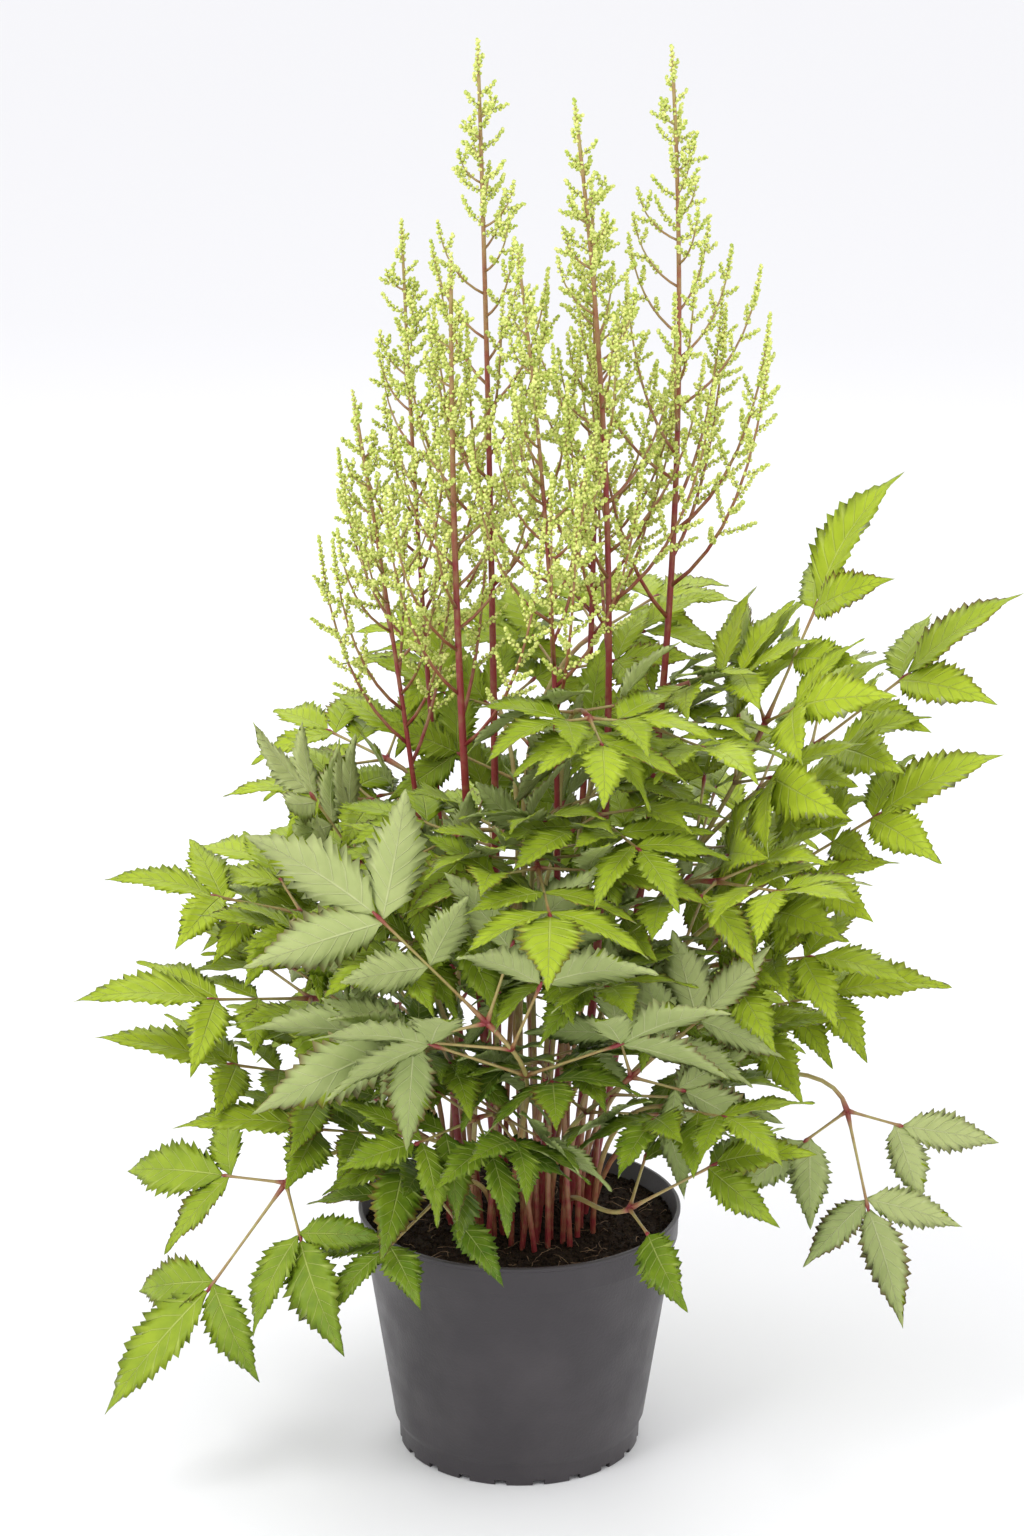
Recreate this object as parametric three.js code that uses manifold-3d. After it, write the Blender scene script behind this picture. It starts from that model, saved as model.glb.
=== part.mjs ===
// A budding astilbe in a round nursery pot: the pot, its peat, eight flower panicles on red stems
// and the compound leaves that rise round them from one crown.
// Millimetres, +Z up, origin at the middle of the pot's underside, front towards -Y.
// Every leaf and panicle grows from the peat by the same rules. A leaflet or a flower branch that would
// cross what is already there is bent until it is clear.
import * as THREE from "three";
import { mergeVertices } from "three/addons/utils/BufferGeometryUtils.js";
import Module from "manifold-3d";

const wasm = await Module();
wasm.setup();

// ---------- Driving dimensions ----------

const POT = {
  height: 148,
  rimRadius: 95,
  collarHeight: 18,
  collarStep: 1.4,
  baseRadius: 74.5,
  footRadius: 71.5,
  footHeight: 13,
  wall: 1.6,
  plateHeight: 4.5,
  padRadius: 13,
  segments: 20,
  notches: 20,
  notchWidth: 7,
  notchHeight: 3.2,
  notchDepth: 6, // into the foot's wall
  footTaper: 0.6, // how much wider the foot is at its top
  shoulder: 4, // height of the slope from the foot to the body
  collarUnder: 2, // how far the body stands in under the collar
  lipHeight: 3, // the rolled rim's depth
  lipOut: 0.6,
};
const PEAT_TOP = 137;
const PEAT_RELIEF = 0.8; // how far the peat's top rises and falls
const PEAT_RINGS = [74, 50]; // radii of the rings of points on its top
const GAP = 0.3; // what stays free between two separate pieces
const HOLE_GAP = 0.6; // round a stalk where it stands in the peat
const HOLE_CUTTER = 40; // long enough to come out of the peat
const FOOT_DEPTH = 14; // how deep a stalk stands in the peat
const FOOT_SPACING = 7.5;
const PETIOLE_RADIUS = 1.7;
const BLADE_THICKNESS = 1.6; // at the midrib; a blade thins to its edge
const TEST_MARGIN = 0.5; // what the clearance test adds all round a piece
const SIMPLIFY = 0.5; // slivers smaller than this are closed up after a piece is fused
const GOLDEN_ANGLE = 2.39996;

// Flower panicles: foot on the peat, a point halfway, the tip, where the branches begin, the longest
// branch and the stem's radius at the peat.
const PANICLES = [
  { foot: [-13, 8], middle: [-15, 6, 470], tip: [-23, 4, 824], start: 520, longest: 150, radius: 3.0 },
  { foot: [27, -6], middle: [50, -12, 470], tip: [29, -14, 794], start: 480, longest: 165, radius: 3.0 },
  { foot: [38, 12], middle: [83, 12, 480], tip: [82, 10, 820], start: 500, longest: 175, radius: 3.0 },
  { foot: [-8, -22], middle: [-32, -42, 450], tip: [-37, -46, 716], start: 440, longest: 150, radius: 3.4 },
  { foot: [-31, -4], middle: [-64, -10, 440], tip: [-92, -16, 636], start: 420, longest: 140, radius: 2.4 },
  { foot: [-24, 20], middle: [-52, 32, 450], tip: [-66, 40, 722], start: 470, longest: 131, radius: 2.4 },
  { foot: [10, -18], middle: [20, -44, 450], tip: [-2, -50, 722], start: 460, longest: 150, radius: 2.4 },
  { foot: [14, 22], middle: [40, 44, 450], tip: [40, 52, 740], start: 480, longest: 150, radius: 2.8 },
];
const STEM_STEPS = 5;
const STEM_TAPER = 0.68; // how much thinner a stem would be at its tip, as a share
const STEM_MARGIN = 0.8; // what the clearance test adds round a stem
const SPIKE_LENGTH = 70; // the budded top of each panicle, above its bare stem
const BRANCHES = 7; // side branches on each panicle
const SHORTEST_BRANCH = 13;
const LAST_BRANCH = 30; // how far below the tip the branches would end
const BRANCH_CLIMB = 0.9; // below 1 the branches stand closer towards the tip
const BRANCH_SHRINK = 1.7; // how fast they get shorter towards the tip
const PANICLE_TURN = 1.9; // radians from one panicle's first branch to the next one's
const BRANCH_WOBBLE = 0.2;
const BRANCH_RISE = [0.45, 0.4]; // length and length squared: how a branch climbs
const BRANCH_REACH = [1.7, -0.7]; // the same for how it spreads, most of it near its root
const BRANCH_SPREAD = [0.26, 0.4]; // the least and the most that it spreads, per length
const TOP_SPREAD = 0.4; // what is added to that at the tip
const SPIKELETS = 2; // side spikes on each branch
const FIRST_SPIKELET = 0.44; // share of the branch
const SPIKELET_STEP = 0.22;
const SPIKELET_SLOPE = 1.1;
const SPIKELET_LENGTH = [8, 0.16]; // its own, and the share of the branch's length added
const SPIKELET_RADIUS = 2.8;
const BUD_RADIUS = 3.4;
// A branch: share of its length, and the radius there.
const BRANCH_SECTIONS = [
  [0, 0.8],
  [0.36, 0.9],
  [0.6, BUD_RADIUS],
  [1, 0],
];
// The budded top: share of its height, and the radius there. It steps in and out like tiers of spikelets.
const TOP_TIERS = [
  [0.14, 8.4],
  [0.3, 2.8],
  [0.46, 6.2],
  [0.62, 2.2],
  [0.8, 3.6],
  [1, 0],
];
const TOP_ROOM = [10.5, 3]; // the radii that the clearance test keeps for it, at its foot and its tip

// Compound leaves: the hub where the stalk first forks, the tip of the last leaflet, the way the upper
// face looks, and how many leaflets the leaf has.
const UP = [0, 0, 1];
const LEAVES = [
  { name: "front_left_rising", hub: [-18, -130, 309], tip: [-138, -126, 432], face: [0.1, 1, -0.1], leaflets: 7 },
  { name: "front_right_rising", hub: [62, -95, 264], tip: [142, -112, 344], face: [-0.1, 1, -0.1], leaflets: 6 },
  { name: "over_peat_right", hub: [62, -84, 180], tip: [158, -120, 250], face: [-0.3, -0.5, 1], leaflets: 6 },
  { name: "over_rim_left", hub: [-46, -82, 186], tip: [-106, -152, 150], face: [-0.2, -0.3, 1], leaflets: 5 },
  { name: "front_low_left", hub: [-24, -92, 238], tip: [-92, -164, 236], face: [0.1, -0.6, 0.8], leaflets: 6 },
  { name: "left_low", hub: [-62, -44, 208], tip: [-176, -96, 238], face: UP, leaflets: 5 },
  { name: "left_drooping", hub: [-133, -70, 190], tip: [-221, -110, 75], face: [-0.2, -0.5, 0.9], leaflets: 9 },
  { name: "right_drooping", hub: [188, -40, 222], tip: [214, -52, 106], face: [0.1, 1, 0.3], leaflets: 5 },
  { name: "right_low_outer", hub: [128, -14, 272], tip: [232, -38, 306], face: UP, leaflets: 5 },
  { name: "left_mid_low", hub: [-108, -14, 232], tip: [-226, -58, 266], face: UP, leaflets: 5 },
  { name: "left_mid", hub: [-120, -22, 284], tip: [-232, -84, 305], face: UP, leaflets: 6 },
  { name: "left_upper", hub: [-126, 6, 326], tip: [-228, -8, 352], face: UP, leaflets: 5 },
  { name: "left_high", hub: [-92, -34, 372], tip: [-142, -46, 452], face: [-0.8, 0, 0.6], leaflets: 5 },
  { name: "centre_front_high", hub: [10, -94, 386], tip: [22, -216, 370], face: UP, leaflets: 6 },
  { name: "centre_front_mid", hub: [34, -84, 320], tip: [62, -170, 336], face: UP, leaflets: 5 },
  { name: "centre_left_mid", hub: [-46, -66, 344], tip: [-96, -142, 330], face: UP, leaflets: 5 },
  { name: "centre_right_high", hub: [74, -30, 448], tip: [128, -124, 450], face: UP, leaflets: 6 },
  { name: "right_high_upright", hub: [138, -20, 448], tip: [196, -4, 584], face: [-0.8, -0.3, 0.5], leaflets: 7 },
  { name: "right_high_outer", hub: [168, 26, 420], tip: [276, 22, 508], face: [-0.4, -0.2, 1], leaflets: 7 },
  { name: "right_upper", hub: [148, -30, 362], tip: [258, -40, 436], face: [-0.4, -0.3, 1], leaflets: 5 },
  { name: "right_mid", hub: [108, -88, 376], tip: [178, -168, 390], face: UP, leaflets: 6 },
  { name: "right_mid_low", hub: [118, -58, 318], tip: [208, -100, 340], face: UP, leaflets: 5 },
  { name: "right_front_low", hub: [85, -80, 240], tip: [142, -156, 258], face: UP, leaflets: 5 },
  { name: "back_left_high", hub: [-78, 64, 402], tip: [-150, 124, 420], face: UP, leaflets: 5 },
  { name: "back_centre_top", hub: [46, 84, 474], tip: [118, 156, 500], face: UP, leaflets: 5 },
  { name: "back_left_top", hub: [-26, 84, 452], tip: [-70, 168, 478], face: UP, leaflets: 5 },
  { name: "back_left_mid", hub: [-104, 74, 320], tip: [-202, 142, 330], face: UP, leaflets: 5 },
  { name: "back_centre_mid", hub: [-16, 122, 330], tip: [-26, 240, 350], face: UP, leaflets: 5 },
  { name: "back_right_mid", hub: [96, 96, 340], tip: [178, 176, 356], face: UP, leaflets: 5 },
  { name: "back_left_low", hub: [-74, 96, 236], tip: [-142, 192, 234], face: UP, leaflets: 5 },
  { name: "back_right_low", hub: [84, 102, 236], tip: [156, 200, 232], face: UP, leaflets: 5 },
  { name: "centre_front_left", hub: [-34, -72, 398], tip: [-96, -132, 384], face: UP, leaflets: 5 },
  { name: "centre_front_right", hub: [42, -74, 410], tip: [88, -154, 394], face: UP, leaflets: 5 },
  { name: "centre_front_top", hub: [38, -76, 466], tip: [50, -152, 456], face: UP, leaflets: 5 },
  { name: "centre_dark_left", hub: [-44, -58, 268], tip: [-104, -112, 278], face: UP, leaflets: 5 },
  { name: "centre_front_low", hub: [12, -66, 262], tip: [24, -148, 268], face: UP, leaflets: 5 },
  { name: "left_inner_high", hub: [-84, 12, 392], tip: [-150, -12, 410], face: UP, leaflets: 5 },
  { name: "right_inner_high", hub: [98, 14, 462], tip: [160, -24, 486], face: UP, leaflets: 5 },
  { name: "back_inner_low", hub: [4, 56, 300], tip: [14, 136, 316], face: UP, leaflets: 5 },
  { name: "back_inner_high", hub: [58, 48, 398], tip: [84, 128, 410], face: UP, leaflets: 5 },
];

// ---------- Vectors ----------

const add = (a, b) => [a[0] + b[0], a[1] + b[1], a[2] + b[2]];
const scale = (a, k) => [a[0] * k, a[1] * k, a[2] * k];
const subtract = (a, b) => [a[0] - b[0], a[1] - b[1], a[2] - b[2]];
const dot = (a, b) => a[0] * b[0] + a[1] * b[1] + a[2] * b[2];
const cross = (a, b) => [
  a[1] * b[2] - a[2] * b[1],
  a[2] * b[0] - a[0] * b[2],
  a[0] * b[1] - a[1] * b[0],
];
const unit = (a) => scale(a, 1 / Math.sqrt(dot(a, a)));
const distance = (a, b) => Math.sqrt(dot(subtract(a, b), subtract(a, b)));
const flattened = (a, normal) => unit(subtract(a, scale(normal, dot(a, normal))));
const degrees = (angle) => (angle * Math.PI) / 180;

function turned(v, axis, angle) {
  const c = Math.cos(angle);
  const s = Math.sin(angle);
  return add(
    add(scale(v, c), scale(cross(axis, v), s)),
    scale(axis, dot(axis, v) * (1 - c)),
  );
}

// A seeded draw, the same on every run.
function randomFrom(seed) {
  let state = seed;
  return (low, high) => {
    state = (state * 16807) % 2147483647;
    return low + ((high - low) * state) / 2147483647;
  };
}

// ---------- Shapes: points and triangles ----------

// A closed rod along a line of points, with one radius at each. A radius of 0 ends it in a point.
function rod(points, radii, sides, sideways, staggered = false) {
  const vertices = [];
  const rings = points.map((p, i) => {
    const before = points[Math.max(i - 1, 0)];
    const after = points[Math.min(i + 1, points.length - 1)];
    const along = unit(subtract(after, before));
    const u = flattened(sideways, along);
    const v = cross(along, u);
    if (radii[i] === 0) return [vertices.push(p) - 1];
    const phase = staggered && i % 2 ? Math.PI / sides : 0;
    return Array.from({ length: sides }, (_, k) => {
      const angle = (2 * Math.PI * k) / sides + phase;
      const spoke = add(scale(u, Math.cos(angle)), scale(v, Math.sin(angle)));
      return vertices.push(add(p, scale(spoke, radii[i]))) - 1;
    });
  });
  const triangles = [];
  for (let i = 0; i + 1 < rings.length; i++) {
    const [a, b] = [rings[i], rings[i + 1]];
    for (let k = 0; k < sides; k++) {
      const n = (k + 1) % sides;
      if (a.length === 1) triangles.push([a[0], b[n], b[k]]);
      else if (b.length === 1) triangles.push([a[k], a[n], b[0]]);
      else triangles.push([a[k], a[n], b[k]], [a[n], b[n], b[k]]);
    }
  }
  const first = rings[0];
  const last = rings[rings.length - 1];
  for (let k = 1; k + 1 < sides; k++) {
    if (first.length > 1) triangles.push([first[0], first[k + 1], first[k]]);
    if (last.length > 1) triangles.push([last[0], last[k], last[k + 1]]);
  }
  return { points: vertices, triangles };
}

// The point of a leaflet at share u of its length and x to its left. The rib arches down and the
// halves fold up along it.
function onLeaflet(leaflet, u, x) {
  const bend = leaflet.droop * u;
  const c = Math.cos(bend);
  const s = Math.sin(bend);
  const reach = leaflet.length / leaflet.droop;
  const rib = add(
    leaflet.root,
    add(scale(leaflet.along, s * reach), scale(leaflet.up, (c - 1) * reach)),
  );
  const normal = add(scale(leaflet.up, c), scale(leaflet.along, s));
  const left = cross(leaflet.up, leaflet.along);
  return {
    normal,
    point: add(
      add(rib, scale(left, x * Math.cos(leaflet.fold))),
      scale(normal, Math.abs(x) * Math.sin(leaflet.fold)),
    ),
  };
}

// Toothed outlines: share of the length, share of the half width.
const LARGE_OUTLINE = [
  [0.15, 0.46],
  [0.34, 1.0],
  [0.4, 0.8],
  [0.6, 0.8],
  [0.66, 0.56],
];
const SMALL_OUTLINE = [
  [0.32, 1.0],
  [0.44, 0.78],
  [0.7, 0.66],
];
const TEST_OUTLINE = [
  [0.14, 0.66],
  [0.36, 1.0],
  [0.62, 0.84],
  [0.8, 0.46],
];
const RIB_STATIONS = [0.3, 0.66];

// A closed blade, thick at the rib and sharp at its toothed edge, from share `start` of its length.
function blade(leaflet, outline, thickness, start, margin) {
  const half = leaflet.width / 2;
  const points = [onLeaflet(leaflet, start, 0).point];
  const chains = [1, -1].map((side) => [
    0,
    ...outline
      .filter(([u]) => u > start)
      .map(([u, w]) => points.push(onLeaflet(leaflet, u, side * (w * half + margin)).point) - 1),
  ]);
  const tip = points.push(onLeaflet(leaflet, 1 + margin / leaflet.length, 0).point) - 1;
  chains.forEach((chain) => chain.push(tip));
  const faces = [1, -1].map((face) =>
    RIB_STATIONS.map((u) => {
      const { point, normal } = onLeaflet(leaflet, u, 0);
      return points.push(add(point, scale(normal, face * (thickness / 2 + margin)))) - 1;
    }),
  );
  const shares = [start, ...outline.filter(([u]) => u > start).map(([u]) => u), 1];
  const triangles = [];
  const put = (a, b, c, flip) => triangles.push(flip ? [a, c, b] : [a, b, c]);
  faces.forEach((rib, lower) =>
    chains.forEach((chain, right) => {
      const flip = lower !== right;
      let at = 0;
      for (let i = 0; i + 1 < chain.length; i++) {
        const middle = (shares[i] + shares[i + 1]) / 2;
        const nearest =
          Math.abs(middle - RIB_STATIONS[0]) <= Math.abs(middle - RIB_STATIONS[1]) ? 0 : 1;
        if (nearest > at) {
          put(rib[0], rib[1], chain[i], flip);
          at = 1;
        }
        put(rib[at], chain[i + 1], chain[i], flip);
      }
    }),
  );
  return { points, triangles };
}

// ---------- Clearance: which pieces cross ----------

function boundsOf(points) {
  const low = [0, 1, 2].map((k) => Math.min(...points.map((p) => p[k])));
  const high = [0, 1, 2].map((k) => Math.max(...points.map((p) => p[k])));
  return { low, high };
}

function shapeOf({ points, triangles }) {
  const edges = new Map();
  triangles.forEach((t) =>
    t.forEach((a, i) => {
      const b = t[(i + 1) % 3];
      edges.set(Math.min(a, b) * 10000 + Math.max(a, b), [points[a], points[b]]);
    }),
  );
  const bounded = (corners) => ({ corners, ...boundsOf(corners) });
  return {
    faces: triangles.map((t) => bounded(t.map((i) => points[i]))),
    edges: [...edges.values()].map(bounded),
    ...boundsOf(points),
  };
}

const boxesMeet = (a, b) =>
  a.low[0] <= b.high[0] &&
  b.low[0] <= a.high[0] &&
  a.low[1] <= b.high[1] &&
  b.low[1] <= a.high[1] &&
  a.low[2] <= b.high[2] &&
  b.low[2] <= a.high[2];

function pierces(edge, face) {
  if (!boxesMeet(edge, face)) return false;
  const [start, end] = edge.corners;
  const [a, b, c] = face.corners;
  const ray = subtract(end, start);
  const ab = subtract(b, a);
  const ac = subtract(c, a);
  const p = cross(ray, ac);
  const determinant = dot(ab, p);
  if (Math.abs(determinant) < 1e-12) return false;
  const from = subtract(start, a);
  const u = dot(from, p) / determinant;
  if (u < 0 || u > 1) return false;
  const q = cross(from, ab);
  const v = dot(ray, q) / determinant;
  if (v < 0 || u + v > 1) return false;
  const t = dot(ac, q) / determinant;
  return t >= 0 && t <= 1;
}

function edgesPierce(a, b) {
  const edges = a.edges.filter((e) => boxesMeet(e, b));
  const faces = b.faces.filter((f) => boxesMeet(f, a));
  return edges.some((e) => faces.some((f) => pierces(e, f)));
}

const crossing = (a, b) => boxesMeet(a, b) && (edgesPierce(a, b) || edgesPierce(b, a));

// Every test shape so far, with the piece it belongs to. A leaflet also has a free part, without the
// root that sits in its own stalk, for tests against its own leaf.
const placed = [];

const isClear = (shapes, owner) =>
  !placed.some((other) => other.owner !== owner && shapes.some((s) => crossing(s, other.shape)));

function place(shapes, owner, free = shapes) {
  shapes.forEach((shape, i) => placed.push({ owner, shape, free: free[i] }));
}

// ---------- Flower panicles ----------

// The stem's point at height z, on a parabola through its foot, middle and tip.
function stemPoint(panicle, z) {
  const zs = [PEAT_TOP, panicle.middle[2], panicle.tip[2]];
  const weights = zs.map((own, i) => {
    const [p, q] = zs.filter((_, k) => k !== i);
    return ((z - p) * (z - q)) / ((own - p) * (own - q));
  });
  const ends = [panicle.foot, panicle.middle, panicle.tip];
  return [
    weights[0] * ends[0][0] + weights[1] * ends[1][0] + weights[2] * ends[2][0],
    weights[0] * ends[0][1] + weights[1] * ends[1][1] + weights[2] * ends[2][1],
    z,
  ];
}

function stemRadius(panicle, z) {
  const share = (z - PEAT_TOP) / (panicle.tip[2] - PEAT_TOP);
  return panicle.radius * (1 - STEM_TAPER * share);
}

function stemLine(panicle) {
  const rise = panicle.tip[2] - SPIKE_LENGTH - PEAT_TOP;
  const heights = Array.from({ length: STEM_STEPS + 1 }, (_, i) => PEAT_TOP + (rise * i) / STEM_STEPS);
  const points = [
    [...panicle.foot, PEAT_TOP - FOOT_DEPTH],
    ...heights.map((z) => stemPoint(panicle, z)),
  ];
  const radii = [panicle.radius, ...heights.map((z) => stemRadius(panicle, z))];
  return { points, radii };
}

// One side branch: where it leaves the stem and how it curves up, as points at shares of its length.
function branchPoint(branch, t) {
  const rise = branch.length * (BRANCH_RISE[0] * t + BRANCH_RISE[1] * t * t);
  const curve = BRANCH_REACH[0] * t + BRANCH_REACH[1] * t * t;
  const spread = branch.length * branch.spread * curve;
  return add(branch.root, add(scale(branch.outward, spread), [0, 0, rise]));
}

function branchesOf(panicle, index) {
  const random = randomFrom(101 + 37 * index);
  return Array.from({ length: BRANCHES }, (_, k) => {
    const share = k / BRANCHES;
    const last = panicle.tip[2] - LAST_BRANCH;
    const z = panicle.start + (last - panicle.start) * share ** BRANCH_CLIMB;
    const root = stemPoint(panicle, z);
    const length = panicle.longest * (1 - share) ** BRANCH_SHRINK + SHORTEST_BRANCH;
    const wobble = random(-BRANCH_WOBBLE, BRANCH_WOBBLE);
    const angle = k * GOLDEN_ANGLE + index * PANICLE_TURN + wobble;
    return { root, length, angle, spread: random(...BRANCH_SPREAD) + TOP_SPREAD * share };
  });
}

const BRANCH_TURNS = [0, 14, -14, 28, -28, 42, -42, 58, -58, 76, -76, 96, -96, 120, -120, 150];

function branchSpikes(branch) {
  const sideways = cross(branch.outward, UP);
  return Array.from({ length: SPIKELETS }, (_, i) => {
    const t = FIRST_SPIKELET + SPIKELET_STEP * i;
    const root = branchPoint(branch, t);
    const away = i % 2 ? sideways : scale(sideways, -1);
    const direction = unit(add(away, [0, 0, SPIKELET_SLOPE]));
    const length = SPIKELET_LENGTH[0] + branch.length * SPIKELET_LENGTH[1];
    return { root, direction, length, sideways: branch.outward };
  });
}

// Share of the branch, and the radius that its buds need there.
const BRANCH_ROOM = [
  [0.06, 1.6],
  [0.3, 2.6],
  [0.65, 4.4],
  [1.02, 2],
];
const SPIKE_ROOM = [3.2, 2.4];

function branchShapes(branch) {
  const line = BRANCH_ROOM.map(([t]) => branchPoint(branch, t));
  const radii = BRANCH_ROOM.map(([, radius]) => radius);
  const axis = rod(line, radii, 4, cross(branch.outward, UP));
  const spikes = branchSpikes(branch).map((s) =>
    rod([s.root, add(s.root, scale(s.direction, s.length + 1))], SPIKE_ROOM, 4, s.sideways),
  );
  return [axis, ...spikes].map(shapeOf);
}

// ---------- Compound leaves ----------

const feet = PANICLES.map((p) => p.foot);
const CROWN_RADIUS = 17; // how near the middle of the peat the innermost stalks stand
const FOOT_SHARE = 0.14; // how much further out a stalk stands, per millimetre that its hub is out
const FOOT_RINGS = [0, 7, 14, 21, 28];
const FOOT_TRIES = 7; // spots on each ring
const FOOT_TURN = 0.16; // radians between them

// The free spots on the peat for a leaf's foot, the nearest to its own bearing first.
function* freeSpots(hub) {
  const bearing = Math.atan2(hub[1], hub[0]);
  const radius = CROWN_RADIUS + FOOT_SHARE * Math.hypot(hub[0], hub[1]);
  const isFree = (spot) =>
    feet.every((f) => Math.hypot(f[0] - spot[0], f[1] - spot[1]) >= FOOT_SPACING);
  for (const further of FOOT_RINGS)
    for (let k = 0; k < FOOT_TRIES; k++) {
      const angle = bearing + FOOT_TURN * Math.ceil(k / 2) * (k % 2 ? 1 : -1);
      const spot = [(radius + further) * Math.cos(angle), (radius + further) * Math.sin(angle)];
      if (isFree(spot)) yield spot;
    }
}

const PETIOLE_STEPS = 4;
const LEAN = 0.3; // how far a leaf that faces up is turned outwards, as a slope
const LIGHT = [0, -0.34, 1]; // where the light came from, which leaves that face up turn to
const NODE_ANGLE = 62; // how far the two side stalks turn from the leaf's direction
const NODE_REACH = 0.27; // lengths of the stalks past the hub, as shares of the leaf's reach
const INNER_REACH = 0.26;
const OUTER_REACH = 0.5;
const NODE_LIFT = 0.03; // how far the side nodes stand over the leaf's plane
const FIRST_RISE = 0.5; // how far a stalk rises before it bends over, as a share of its span
const LAST_RUN = 0.3; // how long it runs straight into the hub

// The stalk from the peat to the hub, then the stalks to the leaf's four nodes.
function skeletonOf(leaf, foot, swing, lift) {
  const ground = [foot[0], foot[1], PEAT_TOP + 2];
  const along = unit(subtract(leaf.tip, leaf.hub));
  const reach = distance(leaf.tip, leaf.hub);
  const span = distance(leaf.hub, ground);
  const outward = unit([leaf.hub[0], leaf.hub[1], 0]);
  const up = flattened(leaf.face === UP ? add(LIGHT, scale(outward, LEAN)) : leaf.face, along);
  const sideways = cross(UP, outward);
  const first = add(add(ground, [0, 0, span * (FIRST_RISE + lift)]), scale(sideways, swing));
  const second = add(subtract(leaf.hub, scale(along, LAST_RUN * span)), scale(sideways, swing));
  const petiole = [[foot[0], foot[1], PEAT_TOP - FOOT_DEPTH]];
  for (let i = 0; i <= PETIOLE_STEPS; i++) {
    const t = i / PETIOLE_STEPS;
    const r = 1 - t;
    petiole.push(
      add(
        add(scale(ground, r * r * r), scale(first, 3 * r * r * t)),
        add(scale(second, 3 * r * t * t), scale(leaf.hub, t * t * t)),
      ),
    );
  }
  const lateral = (side) => {
    const direction = turned(along, up, side * degrees(NODE_ANGLE));
    return add(add(leaf.hub, scale(direction, NODE_REACH * reach)), scale(up, NODE_LIFT * reach));
  };
  return {
    petiole,
    hub: leaf.hub,
    along,
    up,
    left: cross(up, along),
    reach,
    inner: add(leaf.hub, scale(along, INNER_REACH * reach)),
    outer: add(leaf.hub, scale(along, OUTER_REACH * reach)),
    leftNode: lateral(1),
    rightNode: lateral(-1),
  };
}

const STALK_RADIUS = 1.1;

// The leaf's two rods: the petiole on to the outer node, and one side node through the hub to the other.
function stalks(s, margin) {
  const thin = STALK_RADIUS + margin;
  const past = (end) => add(end, scale(unit(subtract(end, s.hub)), 1.2));
  const taper = s.petiole.map((_, i) => PETIOLE_RADIUS - (0.35 * i) / PETIOLE_STEPS + margin);
  const sides = [past(s.leftNode), s.hub, past(s.rightNode)];
  return [
    rod([...s.petiole, past(s.outer)], [...taper, thin - 0.1], 3, s.left),
    rod(sides, [thin - 0.1, thin, thin - 0.1], 3, s.up),
  ];
}

const SWINGS = [0, 9, -9, 18, -18, 27, -27, 36, -36, 48, -48];
const LIFTS = [0, 0.12, -0.12, 0.24];
const RISES = [0, 10, -10, 20, -20];

// The first way from foot to nodes that clears every stalk and stem placed before.
function settledSkeleton(leaf) {
  for (const foot of freeSpots(leaf.hub))
    for (const rise of RISES)
      for (const lift of LIFTS)
        for (const swing of SWINGS) {
          const moved = { ...leaf, hub: add(leaf.hub, [0, 0, rise]), tip: add(leaf.tip, [0, 0, rise]) };
          const skeleton = skeletonOf(moved, foot, swing, lift);
          const shapes = stalks(skeleton, TEST_MARGIN).map(shapeOf);
          if (isClear(shapes, leaf.name)) {
            feet.push(foot);
            place(shapes, leaf.name);
            return skeleton;
          }
        }
  throw new Error(leaf.name + " finds no clear way for its stalks");
}

// The eleven leaflets: node, bearing from the leaf's own direction, share of the leaf's reach, and how
// far down the node's stalk the leaflet is rooted.
const LEAFLET_PLAN = [
  { node: "outer", bearing: 0, share: 0.56, back: 0 },
  { node: "outer", bearing: 60, share: 0.46, back: 5 },
  { node: "outer", bearing: -60, share: 0.46, back: 6 },
  { node: "leftNode", bearing: 66, share: 0.52, back: 0 },
  { node: "rightNode", bearing: -66, share: 0.52, back: 0 },
  { node: "leftNode", bearing: 8, share: 0.38, back: 4 },
  { node: "rightNode", bearing: -8, share: 0.38, back: 4 },
  { node: "leftNode", bearing: 128, share: 0.38, back: 5 },
  { node: "rightNode", bearing: -128, share: 0.38, back: 5 },
  { node: "inner", bearing: 66, share: 0.32, back: 0 },
  { node: "inner", bearing: -66, share: 0.32, back: 0 },
];

// The least and the most that a leaflet's draw gives it.
const BEARING_DRAW = [-7, 7]; // degrees, as are the next two and the fold
const TILT_DRAW = [-4, 14];
const ROLL_DRAW = [-10, 10];
const LENGTH_DRAW = [0.92, 1.12]; // of its share of the leaf's reach
const SHORTEST_LEAFLET = 54;
const WIDTH_DRAW = [0.39, 0.5]; // of its length
const DROOP_DRAW = [0.3, 0.75]; // radians from its root to its tip
const FOLD_DRAW = [8, 18];

// Each leaflet as it wants to lie, before any bend to clear its neighbours.
function leafletsOf(skeleton, index) {
  const random = randomFrom(977 + 61 * index);
  return LEAFLET_PLAN.map(({ node, bearing, share, back }) => {
    const angle = degrees(bearing + random(...BEARING_DRAW));
    const tilt = degrees(random(...TILT_DRAW));
    const roll = degrees(random(...ROLL_DRAW));
    const wanted = skeleton.reach * share * random(...LENGTH_DRAW);
    const length = Math.max(SHORTEST_LEAFLET, wanted);
    const width = length * random(...WIDTH_DRAW);
    const droop = random(...DROOP_DRAW);
    const fold = degrees(random(...FOLD_DRAW));
    const flat = turned(skeleton.along, skeleton.up, angle);
    const across = cross(skeleton.up, flat);
    const along = turned(flat, across, -tilt);
    const up = turned(turned(skeleton.up, across, -tilt), along, roll);
    const stalk = unit(subtract(skeleton[node], skeleton.hub));
    const root = subtract(skeleton[node], scale(stalk, back));
    return { root, along, up, length, width, droop, fold };
  });
}

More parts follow.
